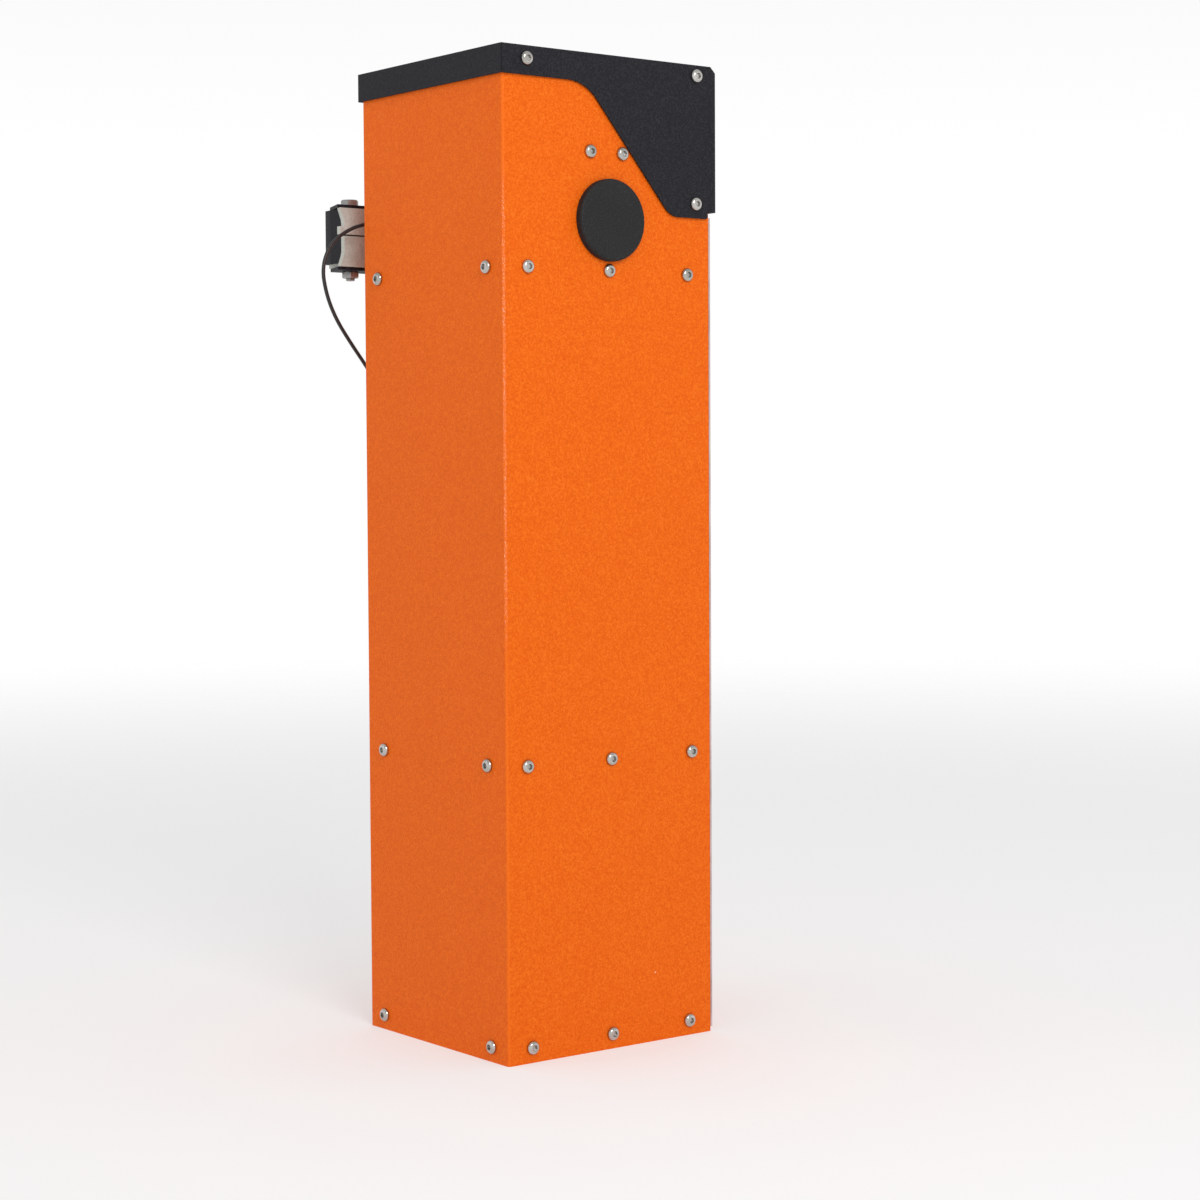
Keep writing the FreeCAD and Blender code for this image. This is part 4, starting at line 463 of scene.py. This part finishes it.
# Lowest and highest corners of each separate solid in a CAD node, by spreading the smallest label
# over every triangle until nothing changes.
def solidBoxes(node):
    mesh = nodes[node].data
    mesh.calc_loop_triangles()
    points = np.empty(len(mesh.vertices) * 3)
    mesh.vertices.foreach_get("co", points)
    corners = np.empty(len(mesh.loop_triangles) * 3, int)
    mesh.loop_triangles.foreach_get("vertices", corners)
    spots, merged = np.unique(points.reshape(-1, 3).round(6), axis=0, return_inverse=True)
    faces = merged.reshape(-1)[corners.reshape(-1, 3)]
    label = np.arange(len(spots))
    while True:
        low = label.copy()
        np.minimum.at(low, faces, label[faces].min(axis=1)[:, None])
        if (low == label).all():
            return [(spots[label == k].min(axis=0), spots[label == k].max(axis=0))
                    for k in np.unique(label)]
        label = low


# Carries a grid whose own z runs along a direction to its origin; side tells where its x looks.
def placed(grid, origin, along, side=(0, 0, 1)):
    z = np.array(along, float) / np.linalg.norm(along)
    x = np.array(side, float) - np.dot(side, z) * z
    if np.linalg.norm(x) < 1e-6:
        x = np.array([1.0, 0, 0]) - z[0] * z
    x /= np.linalg.norm(x)
    spots = grid[..., :3] @ np.array([x, np.cross(z, x), z]) + np.array(origin, float)
    return np.concatenate([spots, grid[..., 3:]], axis=-1)


# A profile turned round z. Each row is (radius, height, share of hexagon, shade); the radius at an
# angle is the circle's, or the hexagon's with that distance across half its flats, or between.
# ridges, where given, returns what is added to the radii, one value for each row and angle.
def turnedGrid(rows, steps=72, ridges=None):
    rows = np.array([(*row, 0, 0)[:4] for row in rows], float)
    angles = np.arange(steps) * 2 * math.pi / steps
    hexagon = 1 / np.cos((angles + math.pi / 6) % (math.pi / 3) - math.pi / 6)
    radii = rows[:, :1] * (1 + rows[:, 2:3] * (hexagon - 1))
    if ridges is not None:
        radii = radii + ridges(rows, angles)
    heights, shades = (np.repeat(rows[:, n:n + 1], steps, axis=1) for n in (1, 3))
    return np.stack([radii * np.cos(angles), radii * np.sin(angles), heights, shades], axis=-1)


# Profile rows on an ellipse arc round a centre (radius, height), between two angles in degrees.
def roundRows(centre, radii, first, last, count, share=0.0):
    angles = np.radians(np.linspace(first, last, count))
    return [(centre[0] + radii[0] * math.cos(a), centre[1] + radii[1] * math.sin(a), share)
            for a in angles]


# A round tube along points: circles across the path, in frames turned the least from one to the next,
# with both ends drawn in to a point.
def tubeGrid(path, radius, steps=12):
    path = np.asarray(path, float)
    ahead = np.gradient(path, axis=0)
    ahead /= np.linalg.norm(ahead, axis=1)[:, None]
    side = np.empty_like(ahead)
    side[0] = np.cross(ahead[0], (0.31, 0.83, 0.46))
    for index in range(1, len(path)):
        side[index] = side[index - 1] - ahead[index] * np.dot(side[index - 1], ahead[index])
        side[index] /= np.linalg.norm(side[index])
    side[0] /= np.linalg.norm(side[0])
    other = np.cross(ahead, side)
    angles = np.arange(steps) * 2 * math.pi / steps
    radii = np.full(len(path), radius) if np.isscalar(radius) else np.asarray(radius)
    ring = (np.cos(angles)[None, :, None] * side[:, None] + np.sin(angles)[None, :, None] * other[:, None])
    grid = path[:, None] + ring * radii[:, None, None]
    first = np.repeat(path[:1, None], steps, axis=1)
    last = np.repeat(path[-1:, None], steps, axis=1)
    return np.concatenate([first, grid, last])


# A mesh piece from closed grids of points; each grid is wrapped round in its columns. A fourth value
# in a grid is its shade: how much painted shade darkens the finish there.
def makePiece(name, grids, slot, body, stands=(), finish=None, crease=32):
    corners = []
    shades = []
    faces = []
    start = 0
    for grid in grids:
        rows, columns = grid.shape[:2]
        index = start + np.arange(rows * columns).reshape(rows, columns)
        beside = np.roll(index, -1, axis=1)
        faces.append(np.stack([index[:-1], beside[:-1], beside[1:], index[1:]], axis=-1).reshape(-1, 4))
        corners.append(grid[..., :3].reshape(-1, 3))
        shades.append(grid[..., 3].ravel() if grid.shape[2] > 3 else np.zeros(rows * columns))
        start += rows * columns
    mesh = bpy.data.meshes.new(name)
    mesh.from_pydata(np.concatenate(corners).tolist(), [], np.concatenate(faces).tolist())
    mesh.attributes.new("shade", "FLOAT", "POINT").data.foreach_set("value", np.concatenate(shades))
    return finishPiece(name, mesh, slot, body, stands, finish, crease)


# Merges a mesh's doubles, points its faces outwards and makes it a piece that rides on a body.
def finishPiece(name, mesh, slot, body, stands, finish, crease):
    work = bmesh.new()
    work.from_mesh(mesh)
    bmesh.ops.remove_doubles(work, verts=work.verts, dist=1e-6)
    bmesh.ops.recalc_face_normals(work, faces=work.faces)
    work.to_mesh(mesh)
    work.free()
    mesh.shade_smooth()
    mesh.set_sharp_from_angle(angle=math.radians(crease))
    mesh.materials.append(finishes[finish or finishOfSlot[slot]])
    piece = bpy.data.objects.new(name, mesh)
    bpy.context.scene.collection.objects.link(piece)
    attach(piece, body)
    if stands:
        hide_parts(*stands)
    return piece


lead = {"radius": 0.002, "exit": (-0.040, 0.148, 0.668), "length": 0.338, "smoothness": 16,
        "route": [(-0.040, 0.148, 0.668), (-0.040, 0.165, 0.668), (-0.051, 0.176, 0.669),
                  (-0.069, 0.178, 0.674), (-0.088, 0.171, 0.685), (-0.109, 0.160, 0.703),
                  (-0.1325, 0.150, 0.724), (-0.1545, 0.142, 0.747), (-0.169, 0.137, 0.772),
                  (-0.1745, 0.136, 0.800), (-0.162, 0.137, 0.826), (-0.138, 0.137, 0.8415),
                  (-0.115, 0.137, 0.848), (-0.097, 0.137, 0.849), (-0.0823, 0.137, 0.849)]}


def makeLead():
    data = bpy.data.curves.new("boomLightLead", "CURVE")
    data.dimensions = "3D"
    spline = data.splines.new("NURBS")
    spline.points.add(len(lead["route"]) - 1)
    spline.points.foreach_set("co", [x for spot in lead["route"] for x in (*spot, 1)])
    spline.order_u = 3
    spline.use_endpoint_u = True
    data.resolution_u = lead["smoothness"]
    data.bevel_depth = lead["radius"]
    data.bevel_resolution = 4
    data.use_fill_caps = True
    data.materials.append(finishes["cableSheath"])
    piece = bpy.data.objects.new("boomLightLead", data)
    bpy.context.scene.collection.objects.link(piece)
    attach(piece, "root")
    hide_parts("boom_light_lead")
    return piece


leadPiece = makeLead()
print("lead ready")

buttonScrew = {"head": 0.007, "rise": 0.0044, "rim": 0.0007, "flat": 0.0034, "socket": 0.0025,
               "socketDepth": 0.0018, "shank": 0.004, "steps": 48}


# Profile from the socket's floor over the dome to the shank's tip; the socket is a hexagon.
def buttonScrewGrid(length):
    s = buttonScrew
    top = s["rise"]
    # The fourth values are painted shade: darker in the hex socket and round its mouth, and a dark contact
    # ring round the foot of the head.
    rows = [(0, top - s["socketDepth"], 1), (s["socket"] * 0.9, top - s["socketDepth"], 1, 0.3),
            (s["socket"], top - s["socketDepth"] * 0.85, 1, 0.6), (s["socket"], top - 0.0004, 1, 0.35),
            (s["socket"] * 1.17, top, 0, 0.6), (s["socket"] * 1.2, top - 0.00002)]
    rows += roundRows((s["flat"], s["rim"]), (s["head"] - s["flat"], top - s["rim"]), 90, 0, 11)
    rows += [(s["head"], s["rim"] * 0.4, 0, 0.5), (s["head"] - 0.0002, 0, 0, 1), (s["shank"], 0),
             (s["shank"], 0.0006 - length), (s["shank"] - 0.0006, -length), (0, -length)]
    return turnedGrid(rows, s["steps"])


# One button head screw in each solid of the node, its head on the outer side.
def makeScrews(name, node, body="root"):
    grids = []
    for number, (low, high) in enumerate(solidBoxes(node)):
        axis = int(np.argmax(high - low))
        out = math.copysign(1, low[axis] + high[axis])
        along = np.zeros(3)
        along[axis] = out
        origin = (low + high) / 2
        origin[axis] = (high if out > 0 else low)[axis] - out * buttonScrew["rise"]
        spin = number * 2.4  # each socket stands at its own angle
        side = np.roll((0.0, math.cos(spin), math.sin(spin)), axis)
        grids.append(placed(buttonScrewGrid((high - low)[axis] - buttonScrew["rise"]), origin, along, side))
    return makePiece(name, grids, "stainless_steel", body, [node])


makeScrews("shellScrews", "shell_screws")
makeScrews("hoodScrews", "hood_screws")
print("screws ready")

cap = {"rise": 0.009, "edge": 0.0038, "crown": 0.0005, "brim": 0.0068, "skirt": 0.0032,
       "sheet": 0.003, "chamfer": 0.0006, "steps": 144}


# A flat disc with a rounded rim, turned round the shaft axis, and a skirt in the shaft hole.
def makeCap():
    low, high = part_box("shaft_cover_cap")
    centre = (low + high) / 2
    radius = (high.x - low.x) / 2
    inside = radius - cap["brim"]
    hollow = inside - cap["skirt"]
    top = cap["rise"]
    edge = cap["edge"]
    rows = [(0, top)]
    rows += [(radius * share, top - cap["crown"] * share ** 2) for share in (0.3, 0.6, 0.8)]
    rows += roundRows((radius - edge, top - cap["crown"] - edge), (edge, edge), 90, 0, 9)
    rows += [(radius, cap["chamfer"]), (radius - cap["chamfer"], 0), (inside, 0), (inside, -top),
             (hollow, -top), (hollow, top - cap["sheet"]), (0, top - cap["sheet"])]
    grid = placed(turnedGrid(rows, cap["steps"]), (centre.x, low.y + top, centre.z), (0, -1, 0))
    makePiece("shaftCap", [grid], "black_plastic", "root", ["shaft_cover_cap"], "capPlastic")


makeCap()

clampBolt = {"shank": 0.005, "flat": 0.0085, "head": 0.007, "nut": 0.007, "tail": 0.003,
             "pitch": 0.0015, "threadDepth": 0.0006, "stepsPerPitch": 8, "headSide": (1, -0.9, 0),
             "nutSide": (1, -0.55, 0)}


# Rows of a hexagon nut or head, its corners turned off by a cone at the top and, for a nut, below.
def hexRows(flat, low, high, bevelLow=True):
    rows = []
    if bevelLow:
        rows += [(flat * 0.95, low, 0), (flat, low + 0.0006, 0.45), (flat, low + 0.0013, 1)]
    else:
        rows += [(flat, low, 1)]
    return rows + [(flat, high - 0.0013, 1), (flat, high - 0.0006, 0.45), (flat * 0.95, high, 0)]


# Ridges that climb one pitch a turn: a triangle wave of height less angle, on marked rows only.
def boltThread(rows, angles):
    b = clampBolt
    wave = (rows[:, 1:2] / b["pitch"] - angles[None, :] / (2 * math.pi)) % 1
    on = (np.abs(rows[:, :1] - b["shank"]) < 1e-9) & (rows[:, 1:2] < b["threadTop"])
    return on * -b["threadDepth"] * np.abs(2 * wave - 1)


def makeClampBolts():
    grids = []
    b = clampBolt
    for low, high in solidBoxes("clamp_bolts"):
        x, y = ((low + high) / 2)[:2]
        under = high[2] - b["head"]
        nutTop = low[2] + b["tail"] + b["nut"]
        b["threadTop"] = nutTop + 0.004
        tip = low[2]
        heights = np.arange(tip + 0.0008, b["threadTop"], b["pitch"] / b["stepsPerPitch"])
        threads = [(b["shank"], z, 0) for z in heights]
        shank = [(0, tip), (b["shank"] - 0.0012, tip), (b["shank"] - 0.0002, tip + 0.0007)] + threads
        shank += [(b["shank"], under, 0), (0, under)]
        head = [(0, under + 0.0002)] + hexRows(b["flat"], under + 0.0002, high[2], False) + [(0, high[2])]
        nut = [(0, nutTop - b["nut"])] + hexRows(b["flat"], nutTop - b["nut"], nutTop) + [(0, nutTop)]
        grids.append(placed(turnedGrid(shank, 72, boltThread), (x, y, 0), (0, 0, 1)))
        grids.append(placed(turnedGrid(head), (x, y, 0), (0, 0, 1), b["headSide"]))
        grids.append(placed(turnedGrid(nut), (x, y, 0), (0, 0, 1), b["nutSide"]))
    makePiece("clampBolts", grids, "zinc_plated_steel", "boom_carrier", ["clamp_bolts"])


makeClampBolts()
print("cap and bolts ready")

spring = {"wire": 0.005, "outer": 0.019, "low": 0.360, "high": 0.708, "turns": 48, "endTurns": 1.6,
          "stepsPerTurn": 30, "wireSteps": 10, "shortens": 0.0636}


# A coil: radius times cosine and sine of the angle, rising evenly; at both ends the radius shrinks to
# nothing over the end turns and the wire runs straight on along the axis.
def makeSpring():
    low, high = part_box("balance_spring")
    x, y = (low.x + high.x) / 2, (low.y + high.y) / 2
    s = spring
    angle = np.linspace(0, s["turns"] * 2 * math.pi, s["turns"] * s["stepsPerTurn"] + 1)
    share = angle / angle[-1]
    fromEnd = np.minimum(angle, angle[-1] - angle) / (s["endTurns"] * 2 * math.pi)
    swell = np.clip(fromEnd, 0, 1)
    radius = (s["outer"] - s["wire"] / 2) * np.sin(swell * math.pi / 2)
    rise = s["low"] + (s["high"] - s["low"]) * share
    coil = np.stack([x + radius * np.cos(angle), y + radius * np.sin(angle), rise], axis=-1)
    foot = np.stack([np.full(4, x), np.full(4, y), np.linspace(low.z, s["low"] - 0.003, 4)], axis=-1)
    head = np.stack([np.full(4, x), np.full(4, y), np.linspace(s["high"] + 0.003, high.z, 4)], axis=-1)
    grid = tubeGrid(np.concatenate([foot, coil, head]), s["wire"] / 2, s["wireSteps"])
    piece = makePiece("balanceSpring", [grid], "spring_steel", "root", ["balance_spring"], crease=60)
    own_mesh(piece)


makeSpring()

gland = {"flat": 0.012, "body": 0.0088, "radius": 0.010, "domeStart": 0.0096, "domeEnd": 0.005,
         "ribs": 16, "ribLow": 0.0098, "ribDepth": 0.0004, "throat": 0.0024, "throatDepth": 0.003,
         "nutDepth": 0.0048, "stem": 0.0078, "stemReach": 0.012, "sheet": 0.0015}


# Shallow ribs round the dome nut, fading out towards its ends.
def glandRibs(rows, angles):
    low, high = gland["ribLow"], gland["ribHigh"]
    fade = np.clip(np.minimum(rows[:, 1:2] - low, high - rows[:, 1:2]) / 0.002, 0, 1)
    return fade * gland["ribDepth"] * np.cos(gland["ribs"] * angles[None, :])


# Profile from the wall outwards: hexagon body, groove, ribbed dome nut, lip; and the lock nut.
def makeGland():
    low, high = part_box("cable_gland")
    x, z = (low.x + high.x) / 2, (low.z + high.z) / 2
    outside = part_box("cabinet_shell")[1].y
    reach = high.y - outside
    g = gland
    r = g["radius"]
    g["ribHigh"] = reach - g["domeEnd"]
    rows = [(0, 0.0001)] + hexRows(g["flat"], 0.0001, g["body"])
    rows += [(r * 0.9, g["body"] + 0.0001), (r * 0.9, g["domeStart"] - 0.0002)]
    rows += [(r, h) for h in np.linspace(g["domeStart"], g["ribHigh"], 12)]
    rows += roundRows((r - 0.0035, g["ribHigh"]), (0.0035, g["domeEnd"]), 12, 90, 8)
    rows += [(g["throat"] + 0.0004, reach), (g["throat"], reach - 0.0006),
             (g["throat"], reach - g["throatDepth"]), (0, reach - g["throatDepth"])]
    body = placed(turnedGrid(rows, 96, glandRibs), (x, outside, z), (0, 1, 0))
    thread = [(0, -g["stemReach"]), (g["stem"] - 0.0002, -g["stemReach"]),
              (g["stem"], 0.0005 - g["stemReach"]), (g["stem"], 0.001), (0, 0.001)]
    stem = placed(turnedGrid(thread), (x, outside, z), (0, 1, 0))
    depth = g["nutDepth"]
    nut = [(0, 0)] + hexRows(g["flat"], 0, depth) + [(0, depth)]
    lock = placed(turnedGrid(nut), (x, outside - g["sheet"] - depth - 0.0002, z), (0, 1, 0))
    return makePiece("cableGland", [body, stem, lock], "black_plastic", "root", ["cable_gland"])


connector = {"relief": 0.0031, "step": 0.0004, "spacing": 0.0008, "grooves": 6, "body": 0.0055,
             "bandDepth": 0.0003, "ring": 0.0054, "ringStart": 0.0246, "ringEnd": 0.0324,
             "ridges": 24, "ridgeDepth": 0.00025, "length": 0.0338}


# Fine grip ridges on the coupling ring's rows: a square wave round the ring.
def knurl(rows, angles):
    c = connector
    on = (rows[:, 1:2] > c["ringStart"] - 0.0001) & (rows[:, 1:2] < c["ringEnd"] + 0.0001)
    return on * c["ridgeDepth"] * np.sign(np.sin(c["ridges"] * angles[None, :]))


# Profile along +X: tapered relief with grooves, body with two bands, ribbed coupling ring.
def makeConnector():
    low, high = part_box("lead_connector")
    z, y = (low.z + high.z) / 2, (low.y + high.y) / 2
    c = connector
    r = c["body"]
    band = r - c["bandDepth"]
    neck = r - 0.0005
    rows = [(0, 0), (0.0028, 0), (0.0030, 0.0004)]
    rows += [(c["relief"] + c["step"] * (n // 2 - n % 2), 0.0012 + c["spacing"] * n)
             for n in range(c["grooves"])]
    rows += [(neck, 0.0062), (r, 0.0068), (r, 0.0110), (band, 0.0113), (band, 0.0118), (r, 0.0121),
             (r, 0.0238), (neck, 0.0240), (neck, 0.0244)]
    rows += [(c["ring"], h) for h in np.linspace(c["ringStart"], c["ringEnd"], 9)]
    rows += [(neck, c["length"] - 0.0006), (neck - 0.0004, c["length"]), (0, c["length"])]
    grid = placed(turnedGrid(rows, 96, knurl), (low.x, y, z), (1, 0, 0))
    return makePiece("leadConnector", [grid], "black_plastic", "root", ["lead_connector"])


glandPiece = makeGland()
connectorPiece = makeConnector()
print("spring, gland and connector ready")


softEdges = {  # node: (edge width in metres, segments)
    "hood": (0.0004, 2), "clamp_straps": (0.0004, 2), "boom_plate": (0.0006, 2),
    "gearbox_case": (0.002, 3), "gearbox_cover": (0.001, 2), "drive_lever": (0.0015, 3),
    "crank_arm": (0.0015, 3), "control_box": (0.003, 3), "control_box_lid": (0.003, 3),
    "circuit_breaker": (0.0012, 2), "transformer": (0.0008, 2), "clamp_upper": (0.0022, 3),
    "clamp_lower": (0.0022, 3), "limit_switches": (0.0006, 2)}
bodyOfNode = {node: body for body, members in frame["record"]["behaviour"]["bodies"].items()
              for node in members}


# A copy of a CAD node's mesh, merged, its flat faces joined and its sharp edges rounded.
def softenNode(node, width, segments):
    mesh = nodes[node].data.copy()
    mesh.materials.clear()
    work = bmesh.new()
    work.from_mesh(mesh)
    bmesh.ops.remove_doubles(work, verts=work.verts, dist=1e-6)
    bmesh.ops.dissolve_limit(work, angle_limit=math.radians(0.5), verts=work.verts, edges=work.edges)
    work.to_mesh(mesh)
    work.free()
    name = "soft" + "".join(word.capitalize() for word in node.split("_"))
    mesh.name = name
    finish = ownFinish.get(node)
    piece = finishPiece(name, mesh, slotOfNode[node], bodyOfNode[node], [node], finish, 32)
    bevel = piece.modifiers.new("edges", "BEVEL")
    bevel.width = width
    bevel.segments = segments
    bevel.limit_method = "ANGLE"
    bevel.angle_limit = math.radians(40)
    bevel.harden_normals = True
    return piece


for node, (width, segments) in softEdges.items():
    softenNode(node, width, segments)
print("soft edges ready")


studio = {"floorReach": 8.0, "fadeStart": 1.6, "fadeEnd": 5.5, "floorColour": (0.62, 0.62, 0.62, 1),
          "floorGlow": 0.34, "horizon": 1.0, "zenith": 0.66}


# A wide disc: radius times cosine and sine, in rings.
def makeFloor():
    rings = np.concatenate([[0], np.geomspace(0.5, studio["floorReach"], 24)])
    angles = np.arange(96) * 2 * math.pi / 96
    x = rings[:, None] * np.cos(angles)
    grid = np.stack([x, rings[:, None] * np.sin(angles), np.zeros_like(x)], axis=-1)
    index = np.arange(grid.shape[0] * 96).reshape(-1, 96)
    beside = np.roll(index, -1, axis=1)
    faces = np.stack([index[:-1], index[1:], beside[1:], beside[:-1]], axis=-1).reshape(-1, 4)
    mesh = bpy.data.meshes.new("floor")
    mesh.from_pydata(grid.reshape(-1, 3).tolist(), [], faces.tolist())
    finish = bpy.data.materials.new("paleFloor")
    finish.use_nodes = True
    tree = finish.node_tree
    shader = tree.nodes["Principled BSDF"]
    shader.inputs["Base Color"].default_value = studio["floorColour"]
    shader.inputs["Roughness"].default_value = 0.85
    shader.inputs["Specular IOR Level"].default_value = 0.1
    shader.inputs["Emission Color"].default_value = (1, 1, 1, 1)
    shader.inputs["Emission Strength"].default_value = studio["floorGlow"]
    away = addNode(tree, "VectorMath", operation="LENGTH")
    tree.links.new(addNode(tree, "TexCoord").outputs["Object"], away.inputs[0])
    fade = addNode(tree, "MapRange", {"From Min": studio["fadeStart"], "From Max": studio["fadeEnd"]},
                   interpolation_type="SMOOTHSTEP")
    tree.links.new(away.outputs["Value"], fade.inputs[0])
    blend = addNode(tree, "MixShader")
    tree.links.new(fade.outputs[0], blend.inputs[0])
    tree.links.new(shader.outputs[0], blend.inputs[1])
    tree.links.new(addNode(tree, "BsdfTransparent").outputs[0], blend.inputs[2])
    tree.links.new(blend.outputs[0], tree.nodes["Material Output"].inputs["Surface"])
    mesh.materials.append(finish)
    floor = bpy.data.objects.new("floor", mesh)
    bpy.context.scene.collection.objects.link(floor)


lights = {"keyLight": {"place": (-0.9, -2.9, 2.3), "size": (1.4, 1.4), "power": 42},
          "rimLight": {"place": (-3.0, 1.4, 2.2), "size": (0.8, 2.0), "power": 4}}
lightAim = (0, 0, 0.6)


def makeLight(name, place, size, power):
    data = bpy.data.lights.new(name, "AREA")
    data.shape = "RECTANGLE"
    data.size, data.size_y = size
    data.energy = power
    light = bpy.data.objects.new(name, data)
    light.location = place
    light.rotation_euler = (Vector(lightAim) - Vector(place)).to_track_quat("-Z", "Y").to_euler()
    bpy.context.scene.collection.objects.link(light)


# A pale room: bright round the horizon, a little darker overhead.
def makeWorld():
    world = bpy.data.worlds.new("studioRoom")
    world.use_nodes = True
    bpy.context.scene.world = world
    tree = world.node_tree
    apart = addNode(tree, "SeparateXYZ")
    tree.links.new(addNode(tree, "TexCoord").outputs["Generated"], apart.inputs[0])
    sky = rampNode(tree, apart.outputs[2], (0.12, studio["horizon"]), (0.6, studio["zenith"]))
    tree.links.new(sky, tree.nodes["Background"].inputs["Color"])


makeFloor()
makeWorld()
for name, values in lights.items():
    makeLight(name, **values)
bpy.context.scene.view_settings.view_transform = "Standard"
print("studio ready")
